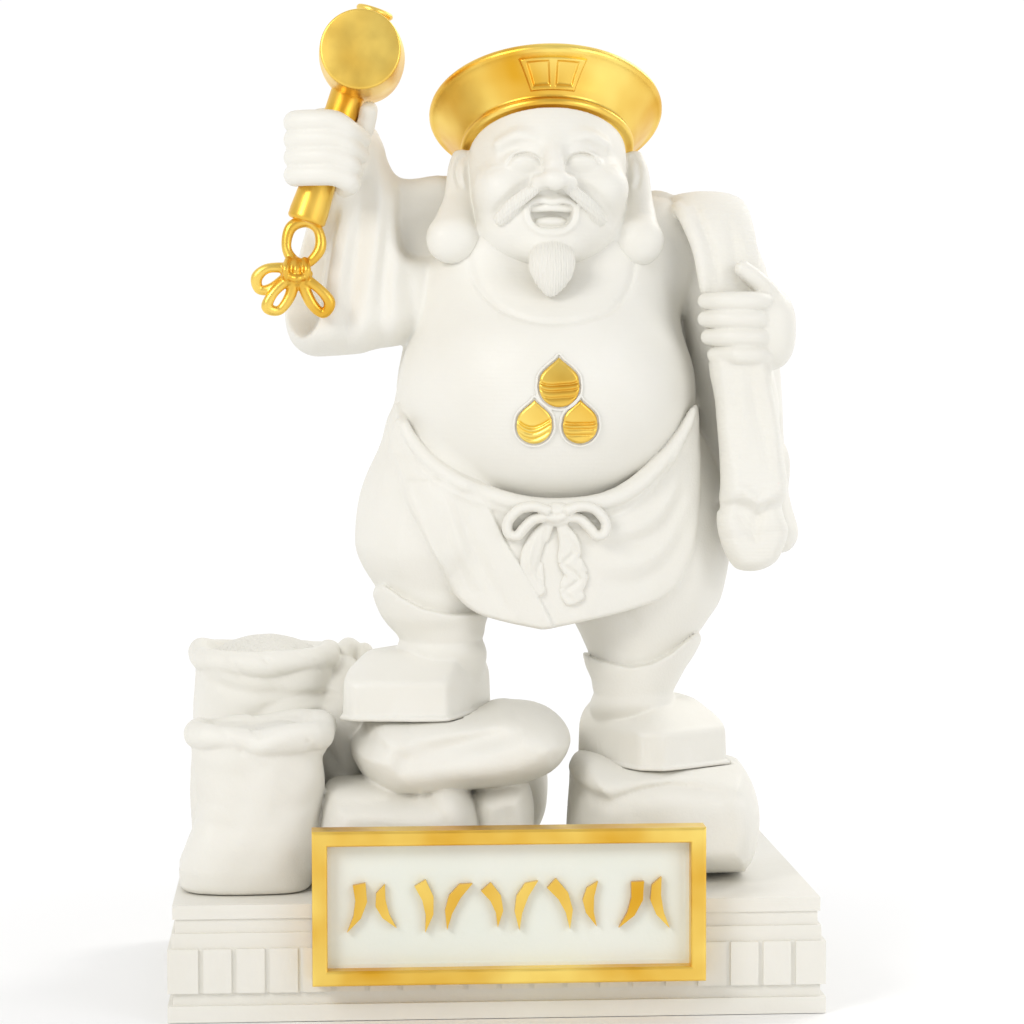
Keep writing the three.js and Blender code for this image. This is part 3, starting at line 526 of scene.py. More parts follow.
CARVED = [
    stone("stone_skin", 0.5, rib=(0.0026, "Z", 0.0002, 0.12)),
    stone("stone_cloth", 0.6, grain=(650.0, 0.0003, 0.5)),
    stone("stone_ribbed", 0.62, rib=(0.0022, "Z", 0.0003, 0.22)),
    stone("stone_hair", 0.6, rib=(0.0016, "X", 0.0005, 0.5)),
    stone("stone_grain", 0.65, grain=(520.0, 0.0022, 0.8)),
    stone("stone_shoe", 0.5),
]
plinth_stone = stone("stone_plinth", 0.5, grain=(350.0, 0.0003, 0.35))
panel_stone = stone("stone_panel", 0.55, light=(0.80, 0.82, 0.76), dark=(0.76, 0.79, 0.72))
gold = gilding("gilding")


# Head, face and ears

HEAD_CELL = 0.75 if FINE else 1.5


def make_head():
    clay = Clay((-48, -102, 346), (124, 44, 497), HEAD_CELL)
    clay.add(mass((MIDDLE, -16, 440), (49, 50, 56)), kind=SKIN)
    clay.add(mass((MIDDLE, -29, 413), (46, 38, 34)), 12)
    clay.add(mass((MIDDLE - 1, -35, 399), (43, 34, 25.5)), 8)
    clay.add(mass((MIDDLE, 6, 385), (34, 32, 34)), 8)
    clay.add(mass((MIDDLE - 1.5, -60, 388), (18, 11, 10)), 9)
    for side in (-1, 1):
        x = mirrored(side)
        # Cheek, shallow socket and the full lower lid of the closed eye
        clay.add(mass((x(30), -48, 424), (17, 18, 15.5)), 9)
        clay.cut(limb([(x(11), -71, 450), (x(19), -69, 451), (x(29), -62, 448)], [3, 4, 3]), 9)
        clay.add(mass((x(17.8), -57.5, 439.5), (11.5, 8.6, 6.6)), 3.5)
        clay.add(limb([(x(8), -60.5, 449.5), (x(20), -58.8, 454.5), (x(32), -53, 450)], [3, 3.6, 2.8]), 6)
    # Ears with their long round lobes
    for ear, lobe, size in (([(-14.5, -13, 448), (-16.2, -15, 438), (-17.3, -19, 426), (-17.8, -24, 416),
                              (-19.8, -32, 405.5), (-21.8, -38, 397)], (-22.5, -41, 392.5), 15.6),
                            ([(92, -13, 446), (93.7, -15, 436), (94.2, -19, 424), (94, -24, 413.5),
                              (93, -32, 403), (92.3, -38, 396)], (92.2, -41, 391), 15.0)):
        clay.add(limb(ear, [5.4, 7.4, 8.2, 9.6, 12.2, 13.5], [4, 7, 7.5, 8, 9.5, 10.5]), 2)
        clay.add(mass(lobe, (size, 11.5, 14.2)), 6)
    # Nose
    clay.add(limb([(MIDDLE, -48, 458), (MIDDLE, -64.5, 446), (MIDDLE, -72, 436)], [7.5, 6, 6.2]), 5.5)
    clay.add(mass((MIDDLE, -77, 427.6), (8.8, 7.6, 6.6)), 4)
    for side in (-1, 1):
        clay.add(mass((MIDDLE + side * 9, -71, 426.2), (5.6, 6.2, 5.0)), 4)
        clay.cut(mass((MIDDLE + side * 4.8, -77.5, 421), (2.4, 3.6, 2.0)), 1.4)
    # Open, laughing mouth with its lips, teeth and tongue
    m = MIDDLE - 1.5
    clay.add(mass((m, -57, 406), (21, 15.5, 14)), 7)
    clay.cut(pillow([(m - 13.5, 412), (m - 7, 414.4), (m, 413), (m + 7, 414.4), (m + 13.5, 412), (m + 12, 403.5),
                     (m + 6.5, 399), (m - 6.5, 399), (m - 12, 403.5)], -95, -62, 2.5), 1.2)
    clay.ridge([(m - 16, 411.5), (m - 14.6, 403), (m - 8, 397), (m, 395.6), (m + 8, 397), (m + 14.6, 403),
        (m + 16, 411.5)], 1.8, 1.3, 1.2, ends=0.6)
    clay.ridge([(m - 15.5, 412.6), (m - 8, 416.6), (m, 415), (m + 8, 416.6), (m + 15.5, 412.6)], 1.6, 1.0, 1.2)
    clay.add(limb([(m - 11, -64.5, 410.6), (m, -68, 411.2), (m + 11, -64.5, 410.6)], 2.2, 1.8), 0.6)
    clay.add(mass((m, -63, 402.6), (9.8, 5.6, 3.8)), 1.5)
    lines = []
    for side in (-1, 1):
        x = mirrored(side)

        def line(route, height, left, right, side=side):
            lines.append((route, height, *((left, right) if side > 0 else (right, left))))

        # Closed eye, the fold above it, its pouch and crow's feet
        line([(x(7), 437), (x(8.5), 440.3), (x(12), 443), (x(17.5), 444.3), (x(22.5), 443.2), (x(26), 440.6),
              (x(28), 437.2)], -2.4, 0.8, 1.4)
        line([(x(10), 434), (x(17.5), 432), (x(26), 434)], -0.6, 1.4, 2.0)
        line([(x(8), 447.5), (x(13), 450.5), (x(20), 451.4), (x(27), 449.5), (x(33), 445)], -0.7, 1.6, 2.6)
        for k in range(2):
            line([(x(31), 438 - 2.4 * k), (x(36), 438.5 - 4 * k), (x(40), 438 - 5.5 * k)], -0.35, 1.0, 1.0)
        # Laugh line
        line([(x(12), 430), (x(19), 425), (x(28), 418), (x(35), 409), (x(35), 400)], -1.1, 2.2, 4.0)
        # Hollow of the ear
        line([(x(51.5), 446), (x(56), 441), (x(57), 433), (x(54.5), 424)], -2.0, 1.4, 1.4)
        line([(x(52), 440), (x(53), 432), (x(51), 425)], 0.9, 1.3, 1.3)
    lines.append(([(m + 0.5, 420.5), (m + 0.5, 417)], -0.8, 1.8, 1.8))
    clay.carve(lines, back=8)
    for side in (-1, 1):
        x = mirrored(side, m)
        clay.add(limb([(x(9.5), -73, 422.2), (x(14), -72.5, 420), (x(21), -69, 414.6), (x(27.5), -64, 408),
                       (x(31), -60.5, 404)], [2.6, 3.7, 4.3, 4.5, 4.0], [2.4, 3.0, 3.2, 3.4, 3.2]), 1.0, HAIR)
    clay.add(limb([(m, -65, 384), (m, -70, 380), (m - 0.3, -73, 374), (m - 0.8, -75, 367), (m - 1.2, -76, 361)],
                  [12.5, 14.2, 13.4, 9.5, 4.6], [9, 10, 9.5, 7, 3.6]), 1.5, HAIR)
    clay.press((MIDDLE - 24, -100, 348), (MIDDLE + 24, -50, 398), lambda x, y, z: (
        0.26 * np.cos((x - m) * (1.9 + 0.03 * (392 - z)) + 0.9 * np.sin(z * 0.3))), only=HAIR)
    clay.press((MIDDLE - 40, -100, 398), (MIDDLE + 40, -50, 430), lambda x, y, z: (
        0.24 * np.cos(np.abs(x - MIDDLE) * 1.6 + (z - 400) * 2.2)), only=HAIR)
    cut_for_hat(clay)
    return clay.mesh(most=58000)


def mirrored(side, middle=MIDDLE):
    """Turns a distance from the middle into an x on that side."""
    return lambda offset: middle + side * offset


def cut_for_hat(clay):
    """Clears the headband and the dome of the hat, so that the crown of the head sits inside it."""
    centre, band, below, above = array(HAT_AT), HAT_BAND - 5.5, -5.0, 11.0
    cosine, sine = math.cos(HAT_TILT), math.sin(HAT_TILT)

    def distance(x, y, z):
        py, pz = y - centre[1], z - centre[2]
        across, up = py * cosine - pz * sine, py * sine + pz * cosine
        outside = np.maximum(band - np.hypot(x - centre[0], across), below - up)
        return np.minimum(outside, above - up).astype(np.float32)

    clay.cut(Shape((-48, -102, 400), (124, 60, 500), distance), 0.6)


# Body, dress, arms, legs and the slung sack

BODY_CELL = 1.25 if FINE else 2.2
HANDLE_TOP, HANDLE_END = np.array((-69.5, -40, 530.0)), np.array((-111, -40, 406.0))
HANDLE_RADIUS = 10.5
LEFT_SOLE, RIGHT_SOLE = 101, 69
LEFT_SHOE = [(-93, -66), (-86, -74), (-43, -79), (-27, -78), (-12, -54), (5, -4), (-6, 14), (-62, 15), (-88, -22)]
RIGHT_SHOE = [(81, -62), (89, -73), (104, -77), (117, -70), (149, -48), (134, 14), (70, 18), (55, -6)]
LEFT_EDGE = [(-80, 166), (-72, 174), (-69, 179), (-65, 181.5), (-60, 178.5), (-54, 174.3), (-42, 168.2), (-23, 164.2),
             (-2, 163.5), (20, 163)]
RIGHT_EDGE = [(40, 140), (56, 137.5), (61, 135.5), (68, 133.2), (86, 130.3), (98.5, 132.2), (111, 138), (122, 145.5),
              (128, 149), (132, 148.5), (135, 144), (142, 134)]
BELT = [(-55, 291), (-52, 279), (-45, 267), (-34, 255), (-16, 243.5), (6, 235.5), (28, 231), (53, 231.5),
        (75, 236), (92, 245.5), (108, 261), (119, 276), (125, 288)]


BELLY = mass((MIDDLE, -10, 299), (93, 84, 82))


def waist(angle):
    """A point of the belt behind the body."""
    sine = math.sin(angle)
    return (MIDDLE + 91 * math.cos(angle), -4 + 73 * sine, 290 + 42 * sine - 14 * sine * sine)


def add_torso(clay):
    clay.add(BELLY)
    clay.add(mass((MIDDLE, 3, 362), (84, 66, 68)), 18)
    clay.cut(mass((MIDDLE, -70, 391), (52, 21, 25)), 12)
    clay.add(mass((-22, 12, 392), (38, 31, 40)), 10, CLOTH)
    clay.add(mass((104, 8, 384), (38, 36, 38)), 10, CLOTH)
    # Neckline of the thin garment over the chest
    clay.carve([([(-14, 390), (-12, 374), (-7, 361.5), (4, 350), (20, 343), (38, 340.5), (56, 343), (75, 350),
                  (86, 364), (89.5, 378), (89, 392)], -1.7, 2.4, 0.7)], back=0)
    # Open robe over the back, with its front edges at the sides
    def robe(x, y, z):
        fold = np.cos(x * 0.16 + np.sin(z * 0.02))
        return -(3.2 + 0.9 * fold + 1.6 * fold * step(y, 22, 40)) * step(y, 2, 7) * step(z, 246, 250)

    clay.press((-70, 0, 246), (150, 110, 440), robe)


def add_trousers(clay):
    clay.add(mass((39, 0, 250), (92, 62, 72)), 6, CLOTH)
    clay.add(trimmed(column([
        (300, -6, -2, 46, 44), (285, -12, -5, 49, 48), (268, -16, -8, 51, 51), (250, -22, -11, 53.5, 54),
        (234, -25.5, -13, 55, 56), (216, -27, -14, 55.5, 56), (203, -28, -15, 54, 55), (194, -29, -16, 50, 51),
        (186, -30.5, -18, 44, 45), (179, -32, -20, 38, 39.5), (171, -33, -22, 33.5, 35.5), (160, -33, -23, 28, 31),
        (150, -32, -24, 24, 27)]),
        LEFT_EDGE, 1, 6), 6, CLOTH)
    clay.add(trimmed(column([
        (290, 80, 0, 44, 44), (272, 88, 1, 48, 48), (252, 95, 2, 51, 54), (232, 99, 2, 54, 57), (214, 101, 2, 54, 57),
        (196, 101.5, 0, 52.5, 56), (180, 100, -2, 51, 54), (167, 98.5, -4, 48.5, 50), (157, 97, -7, 43, 44.5),
        (149, 96, -10, 38, 39.5), (141, 94.5, -13, 33, 35), (132, 93, -16, 28, 30), (120, 91, -18, 23, 25)]),
        RIGHT_EDGE, 1, 6), 6, CLOTH)
    clay.press((-95, 22, 170), (165, 90, 246), lambda x, y, z: (
        1.8 * np.cos(x * 0.19 + 1.2 * np.sin(z * 0.03)) * step(y, 26, 44) * step(z, 172, 190) * step(246 - z, 0, 16)))
    clay.carve([
        ([(-52, 282), (-66, 262), (-74, 236), (-76, 206)], -1.6, 4, 7),
        ([(-40, 270), (-56, 240), (-62, 200)], -1.2, 5, 8),
        ([(-46, 250), (-58, 214), (-56, 186)], 1.2, 5, 8), ([(138, 250), (144, 214), (140, 178)], -1.2, 5, 7),
        ([(120, 214), (130, 190), (128, 166)], 1.0, 6, 6), ([(76, 190), (82, 168), (92, 152)], -0.9, 4, 6),
    ], back=20, fade=20)


def add_apron(clay):
    """The cloth tied round the waist, draped over the masses below it, with a lapped front edge."""
    below = clay.front_map(nothing=40.0)
    x = (clay.low[0] + np.arange(clay.count[0]) * clay.cell)[:, None]
    z = (clay.low[2] + np.arange(clay.count[2]) * clay.cell)[None, :]
    base = -77 * np.sqrt(np.clip(1 - ((x - MIDDLE) / 116) ** 2, 0, 1)) + 0.08 * np.clip(200 - z, 0, 60) + 0 * z
    rounds = int(60 / clay.cell ** 2)
    drape = blurred(smooth_min(base, blurred(np.minimum(below, base + 30), rounds) - 3, 6), rounds // 3)
    drape = np.minimum(drape, below - 3)
    folds = [
        ([(-52, 270), (-38, 246), (-29, 225), (-24, 204), (-11, 176)], -3.0, 4, 5),
        ([(-40, 266), (-24, 238), (-14, 212), (-2, 186), (11, 164)], -2.4, 4, 6),
        ([(-58, 262), (-45, 232), (-37, 206), (-22, 180)], 2.0, 4, 4),
        ([(-46, 262), (-30, 234), (-20, 208), (-6, 180)], 2.2, 5, 5),
        ([(50, 222), (70, 226), (92, 234), (110, 250), (122, 276)], -2.6, 4, 6),
        ([(54, 206), (76, 207), (98, 213), (114, 231), (123, 262)], -2.4, 4, 6),
        ([(66, 184), (90, 184), (110, 200), (124, 232)], -1.8, 5, 6),
        ([(56, 214), (80, 216), (103, 225), (118, 247)], 1.6, 5, 5),
        ([(62, 195), (88, 195), (109, 207), (123, 238)], 1.5, 5, 5),
        ([(44, 196), (50, 180), (48, 164)], -1.6, 5, 5),
    ]
    lap = [(-20, 248), (-13, 242), (-1, 228), (8, 210), (17, 195), (26, 180), (37, 158), (44, 146)]
    line = spline(lap, 5)

    def front(px, pz):
        inward = np.interp(pz.ravel(), line[::-1, 1], line[::-1, 0])[None, None, :] - px
        over_lap = 3.6 * step(inward, -0.7, 0.7) * np.exp(-np.clip(inward, 0, None) / 26) * (pz < 247)
        return clay.over(drape)(px, pz) - relief(folds)(px, pz) - over_lap

    outline = [(-62, 268), (-57, 255), (-52, 234), (-44, 219), (-37, 204), (-28, 188), (-22, 176), (-10, 166), (5, 161),
               (24, 157), (33, 156), (54, 160), (78, 165), (102, 172), (115, 181), (121, 192), (126, 204), (129, 220),
               (131, 246), (130, 270), (127, 292), (108, 268), (75, 242), (40, 236), (6, 241), (-34, 260), (-55, 284)]
    clay.add(pillow(outline, front, lambda px, pz: clay.over(drape)(px, pz) + 9, 2.6, (-92, 30)), 0.8, CLOTH)


def add_belt(clay):
    clay.add(limb([waist(math.pi * i / 12) for i in range(-1, 14)], 4.2, per_span=3), 1.5, CLOTH)
    clay.ridge(BELT, 5.0, 4.4, 1.2, CLOTH, ends=0.45)
    clay.ridge([(a, b - 8.5 - 2.5 * math.sin(i)) for i, (a, b) in enumerate(BELT)][1:12], 2.4, 1.7, 1.4, CLOTH,
        ends=0.4)


def make_bow(body):
    """The tied bow of the belt, laid on the cloth behind it."""
    clay = Clay((-8, -106, 162), (84, -66, 240), 0.65 if FINE else 1.2)

    def lay(points, lift):
        return body.laid(points, -lift)

    clay.add(mass((38.5, lay([(38.5, 226.5)], 2)[0][1], 226.5), (10, 6.5, 7.5)), kind=CLOTH)
    for side in (-1, 1):
        loop = [(38.5 + side * a, c) for a, c in ((6, 229), (14, 231.5), (23, 229.5), (29.5, 222), (29, 215),
                                                  (24, 213.5), (20, 218), (14, 223.5), (6, 225))]
        clay.add(limb(lay(loop, 3.5), 3.2, 4.4, per_span=4), 0.8, CLOTH)
    left = [(34, 221), (27, 210), (23.5, 198), (25.5, 187), (28.5, 179)]
    right = [(41, 221), (46, 208), (45.5, 198), (51, 190), (47.5, 181), (50, 174)]
    clay.add(limb(lay(left, 0.8), [3.5, 6.3, 7.2, 6, 4], 2.4, per_span=4), 0.8, CLOTH)
    clay.add(limb(lay(right, 1.2), [3, 6, 6.3, 7, 7.4, 6.6], 2.4, per_span=4), 0.8, CLOTH)
    clay.carve([
        ([(31, 219), (31, 205), (27, 192), (31, 182)], -1.8, 1.5, 1.5),
        ([(26, 214), (22, 200), (22, 190)], 1.4, 1.6, 1.6), ([(36, 214), (35, 200), (35, 186)], 1.3, 1.5, 1.5),
        ([(43, 214), (49, 204), (43, 196), (52, 187), (44, 179), (50, 173)], -1.8, 1.6, 1.6),
        ([(48, 218), (53, 204), (54, 192)], 1.2, 1.6, 1.6), ([(31, 231), (37, 226), (46, 229)], -1.2, 1.2, 1.2),
        ([(30, 223), (38, 221), (47, 225)], -1.0, 1.2, 1.2)], back=-60, fade=4)
    return clay.mesh(most=14000)


def make_rims():
    """Thin raised borders on the belly, one around each jewel."""
    clay = Clay((4, -102, 262), (74, -80, 326), 0.5 if FINE else 0.9)
    for drop in JEWELS.values():
        line, (x0, z0) = jewel_line(*drop), drop[:2]

        def distance(x, y, z, line=line):
            border = np.abs(outline_distance(line, x, z) - 1.3) - 0.7
            lift = BELLY.distance(x, y, z)
            return np.maximum(border, np.maximum(lift - 1.4, -2.5 - lift)).astype(np.float32)

        clay.add(Shape((x0 - 17, -100, z0 - 3), (x0 + 17, -82, z0 + 34), distance), 0.3, SKIN)
    return clay.mesh(most=9000)


def shoe(clay, outline, sole):
    """A shoe with sloped faces round its top: gentle above the toes, steep beside the other foot."""
    middle = np.mean(outline, axis=0)
    planes = [((0, 0, sole), (0, 0, -1)), ((*middle, sole + 40), (0, 0, 1))]
    plate = [((0, 0, sole), (0, 0, -1)), ((0, 0, sole + 2.8), (0, 0, 1))]
    for (x0, y0), out in sides(outline):
        at = (x0 - out[0] * 1.6, y0 - out[1] * 1.6)
        inward = out[0] * (MIDDLE - middle[0]) > 0
        wall, steep = (23, 0.62) if out[1] < -0.55 else (24, 2.0) if inward else (27, 1.0)
        planes += [((*at, sole), (*out, 0.03)), ((*at, sole + wall), (*(out * steep), 1))]
        plate.append(((x0, y0, sole), (*out, 0)))
    low, high = (*np.min(outline, axis=0), sole), (*np.max(outline, axis=0), sole + 46)
    clay.add(facets(planes, low, high, 3.0), 1.5, SHOE)
    clay.add(facets(plate, low, high, 0.8), 0.4, SHOE)


def trimmed(form, edge, side, lower=0.0):
    """The part of a form above (side 1) or below (side -1) a line (x, z) in the front view."""
    line = np.array(edge, float)

    def distance(x, y, z):
        level = np.interp(x.ravel(), line[:, 0], line[:, 1])[:, None, None] - lower
        return smooth_max(form.distance(x, y, z), (side * (level - z) * 0.85).astype(np.float32), 1.2)

    return Shape(form.low, form.high, distance)


def add_legs(clay):
    """Gaiters, whose pointed upper edges stand proud of the trouser legs, with the ankles and shoes below."""
    for gaiter, ankle, edge in (
            ([(196, -31, -17, 47, 54), (188, -31.5, -18, 44, 52), (181, -32, -19, 41.5, 50),
              (175, -32.5, -20, 39.5, 48), (168, -33, -22, 36.8, 44.5), (161, -33.2, -24, 33.4, 40.5),
              (155, -32, -25, 30.2, 36),
              (150, -30, -26.5, 27.4, 32.5), (146.5, -29.6, -27, 25.6, 30.5)],
             [(158, -29.6, -27, 23, 28), (149, -29.6, -27, 24.6, 29.5), (143, -29.4, -27, 27, 31),
              (137, -29, -25, 28, 32), (128, -28, -22, 26, 30), (116, -28, -20, 22, 26)], LEFT_EDGE),
            ([(166, 97, -6, 47, 56), (158, 97, -8, 43, 52), (150, 97, -10, 39.5, 48), (142, 96.6, -12, 37.4, 45),
              (134, 94.8, -15, 34.6, 41), (127, 93, -18, 31.2, 37), (120, 92.3, -21, 27.6, 33),
              (114.5, 91, -23, 25.6, 30), (111, 91, -24, 24.6, 28.5)],
             [(122, 91, -24, 22.5, 27), (113, 91, -24, 24, 28.5), (107, 91, -23, 26.5, 30), (101, 91, -20, 27, 30),
              (92, 92, -16, 25, 26), (82, 92, -14, 22, 24)], RIGHT_EDGE)):
        clay.add(trimmed(column(gaiter), edge, -1), 0.3, CLOTH)
        clay.add(column(ankle), 0.8, SHOE)
    shoe(clay, LEFT_SHOE, LEFT_SOLE)
    shoe(clay, RIGHT_SHOE, RIGHT_SOLE)


def add_raised_arm(clay):
    outline = [(-69, 463), (-64, 453), (-61, 443), (-55, 434), (-46, 432), (-24, 434), (-8, 420), (-8, 380), (-20, 340),
               (-38, 332), (-56, 328), (-69, 326), (-82, 323), (-95, 322), (-109, 322), (-119, 328), (-124, 338),
               (-125, 351), (-122, 366), (-117, 382), (-112, 400), (-106, 418), (-98, 436), (-86, 452), (-78, 462)]
    clay.add(pillow(outline, lambda x, z: -33 + 0.35 * np.clip(x + 60, 0, 60) + 0 * z,
                    lambda x, z: 34 - 0.2 * np.clip(z - 400, 0, 60) + 0 * x, 20, (-42, 42)), 3, CLOTH)
    clay.carve([
        ([(-68, 456), (-66, 420), (-69, 387), (-74, 356), (-78, 322)], 3.0, 5, 5),
        ([(-78, 436), (-80, 400), (-84, 362), (-88, 322)], -2.6, 4, 5),
        ([(-60, 432), (-62, 400), (-64, 366), (-66, 326)], -2.4, 5, 4),
        ([(-76, 430), (-86, 396), (-92, 362), (-98, 330)], 1.8, 4, 4),
        ([(-54, 392), (-58, 366), (-57, 330)], 2.2, 5, 5), ([(-50, 372), (-46, 354), (-48, 332)], -1.8, 4, 4),
    ], back=6)
    # Deep shade behind the head, and the sleeve's open side
    clay.cut(pillow([(-56, 452), (-57, 426), (-57, 402), (-54, 386), (-44, 380), (-30, 382), (-14, 396), (-8, 452)],
                    -60, -12, 5), 7)
    clay.cut(pillow([(-82, 446), (-87, 424), (-92, 406), (-96, 388), (-99, 368), (-101, 352), (-107, 337), (-116, 331),
                     (-126, 331), (-140, 350), (-140, 440), (-100, 452)],
                    -70, lambda x, z: -4 - 22 * step(352 - z, 0, 26) + 0 * x, 3, (-70, 0)), 2.5)
    clay.add(mass((-99, -28, 446), (25, 20, 28)), 3, SKIN)
    clay.add(limb([(-94, -22, 424), (-92, -10, 400)], [17, 15], 14), 4, SKIN)
    clay.add(limb([(-86, -28, 444), (-78, -38, 458), (-74, -43, 466), (-73, -46, 471.3)], [9, 7.3, 5.6, 5.4]), 2, SKIN)
    for z, tx, tz in ((463.5, -77, 453.5), (453, -78.5, 443.8), (442.3, -82, 433.5), (431.6, -88, 423.5)):
        clay.add(limb([(-108, -28, z), (-117, -42, z), (-117, -54, z), (-106, -61, z), (-94, -62.5, z - 0.5),
                       (-85, -60, (z + tz) / 2 - 1), (tx, -48, tz)],
                      [6, 6.6, 6.9, 6.9, 6.8, 6.5, 5.4], facing=UP), 0.8, SKIN)
    clay.cut(limb([HANDLE_TOP, (HANDLE_TOP + HANDLE_END) / 2, HANDLE_END], HANDLE_RADIUS + 0.4))


def add_sack_arm(clay):
    clay.add(limb([(140, 8, 392), (152, 4, 360), (160, 6, 300), (164, 8, 240), (168, 6, 216)],
                  [28, 29, 28, 27, 25], [26, 26, 24, 22, 18]), 4, CLOTH)
    clay.add(pillow([(176, 318), (185, 296), (187, 275), (191, 256), (191, 238), (193, 225), (196, 213), (195, 205),
                     (188, 198), (172, 200), (158, 230), (158, 318)], -34, 16, 12), 4, CLOTH)
    clay.carve([([(180, 312), (184, 280), (186, 250), (190, 214)], -2.6, 3, 4), ([(150, 330), (152, 280), (156, 220)],
        -2, 5, 5)], back=10)
    clay.add(mass((82, 56, 330), (56, 46, 78), (0, 8, 0), 2.4), 3, RIBBED)
    clay.press((10, 64, 246), (150, 110, 404), lambda x, y, z: (
        1.9 * np.cos(15 * np.arctan2(x - 122, 424 - z)) * step(y, 66, 84)))
    clay.add(limb([(150, -50, 332), (148, -46, 372), (143, -28, 406), (139, 4, 417), (124, 38, 404), (104, 60, 366)],
                  [7, 8, 8, 8, 9, 12], [17, 19, 21, 22, 24, 26], facing=ACROSS), 1.5, RIBBED)
    clay.ridge([(120, 414), (125, 402), (130, 386), (133, 362)], 5, 3.2, 1.5, RIBBED, ends=0.8)
    outline = [(136, 322), (138, 294), (140, 270), (141, 252), (141, 236), (139, 221), (142, 206), (148, 194),
        (154, 190), (165, 190), (175, 195), (180, 204), (183, 215), (180, 224), (180, 232), (182, 238), (182, 246),
        (179, 264), (177, 282), (173, 300), (168, 322)]
    clay.add(pillow(outline, lambda x, z: -67 - 3.5 * step(292 - z, 0, 45) - 2.5 * step(z, 230, 236) + 0 * x,
                    -40, 9, (-78, -38)), 1.0, RIBBED)
    clay.carve([
        ([(143, 232), (147, 239), (153, 240), (158, 235.5), (162, 232), (167, 236), (174, 241), (180, 238)],
         3.2, 3.4, 4),
        ([(140, 226), (147, 231), (155, 229), (162, 225), (169, 230), (180, 229)], -3.4, 3, 4),
        ([(147, 228), (153, 221), (160, 213), (161, 208)], -3.0, 3, 3),
        ([(141, 211), (151, 211), (161, 212), (172, 214), (182, 214)], -1.6, 2.4, 2.4),
        ([(162, 226), (162, 214)], -2.6, 3, 3), ([(145, 318), (147, 286), (148, 256)], -1.5, 3, 3),
        ([(158, 318), (160, 296), (166, 268), (169, 246)], -1.7, 3, 3),
        ([(152, 316), (153, 290), (156, 262)], 1.2, 3, 3), ([(166, 314), (172, 284), (175, 254)], 1.4, 3, 3),
        ([(148, 410), (150, 390), (153, 366)], -1.6, 2.6, 2.6),
        ([(128, 416), (132, 402), (137, 386), (140, 364)], -2.0, 1.8, 1.8),
        ([(156, 402), (158, 386), (160, 372)], 1.0, 3, 3),
    ], back=-10)
    clay.add(mass((171, -46, 338), (17.5, 22, 25.5), power=2.4), 3, SKIN)
    clay.add(limb([(180, -46, 346), (171, -55, 359), (162, -60, 368), (154, -61, 374.5)], [8, 7, 6, 5.2]), 2, SKIN)
    for finger, end in enumerate((128, 128, 130, 134)):
        z = 355 - finger * 10.9
        clay.add(limb([(end + 3.5, -58, z), (end + 13, -67, z), (152, -69.5, z), (163, -66, z), (171, -56, z)],
                      [5.0, 5.7, 5.8, 5.7, 5.2], facing=UP), 0.9, SKIN)


def make_body():
    clay = Clay((-133, -98, 66), (206, 106, 482), BODY_CELL)
    for add in (add_torso, add_trousers, add_apron, add_legs, add_belt, add_raised_arm, add_sack_arm):
        add(clay)
    return [clay.mesh(most=112000), make_bow(clay), make_rims()]


# Sacks

SACK_CELL = 1.4 if FINE else 2.4


def bag(at, across, along, height, lean):
    """The body of an upright sack: half-widths and a sideways lean at each height, with slack cloth."""
    levels = np.linspace(0, height, len(across))
    boxy = 3.3

    def distance(x, y, z):
        size_x, size_y, shift = (np.interp(z.ravel(), levels, values)[None, None, :]
                                 for values in (across, along, lean))
        px, py = x - at[0] - shift, y - at[1]
        angle = np.arctan2(py, px)
        slack = 0.7 * np.sin(5 * angle + z * 0.045) + 0.35 * np.sin(9 * angle - z * 0.08 + 1)
        norm = (np.abs(px / size_x) ** boxy + np.abs(py / size_y) ** boxy) ** (1 / boxy)
        side = (norm - 1) * (size_x + size_y) / 2 * 0.9 - slack * np.clip(z / 20, 0, 1)
        return smooth_max(side, np.maximum(z - height, -z), 5).astype(np.float32)

    reach = (max(across) + 4 + max(np.abs(lean)), max(along) + 4)
    return Shape((at[0] - reach[0], at[1] - reach[1], 0), (at[0] + reach[0], at[1] + reach[1], height), distance)


def open_sack(clay, at, across, along, height, mound, phase, lean):
    """A filled sack with a rolled, creased rim and a mound of grain."""
    clay.add(bag(at, across, along, height - 4, lean), 2, CLOTH)
    rim, boxy = [], 3.6
    for a in (2 * math.pi * i / 24 for i in range(24)):
        c, s = math.cos(a), math.sin(a)
        square = (abs(c) ** boxy + abs(s) ** boxy) ** (-1 / boxy)
        inset = 4 + math.sin(3 * a + phase)
        rim.append((at[0] + (across[-1] - inset) * square * c, at[1] + (along[-1] - inset) * square * s,
                    height - 7.6 + 1.5 * math.sin(2 * a + phase) + 0.6 * math.sin(5 * a),
                    7.8 + 0.5 * math.sin(4 * a + phase) + 0.3 * math.sin(7 * a)))
    rim = np.array(ring(rim))
    clay.add(limb(rim[:, :3], rim[:, 3], facing=UP, per_span=3), 0.6, CLOTH)
    # Diagonal creases where the cloth is rolled over
    line, creases = spline(rim[:, :3], 4), 11
    count = len(line) - 1
    for k in range(creases):
        start, route = (k * count) // creases + (k * 5) % 3, []
        for turn in range(6):
            middle = line[(start + turn) % count]
            out = unit(np.array((middle[0] - at[0], middle[1] - at[1], 0)))
            phi = math.radians(95 - 30 * turn)
            route.append(middle + out * 8.3 * math.cos(phi) + np.array(UP) * 8.3 * math.sin(phi))
        clay.cut(limb(route, [0.4, 1.0, 1.4, 1.3, 0.9, 0.4], per_span=2), 2)
    clay.cut(mass((*at, height + 1), (across[-1] * 0.8, along[-1] * 0.8, 9)), 3)
    clay.add(mass((*at, height - 14), (across[-1] * 0.86, along[-1] * 0.86, 11 + mound)), 0.8, GRAIN)


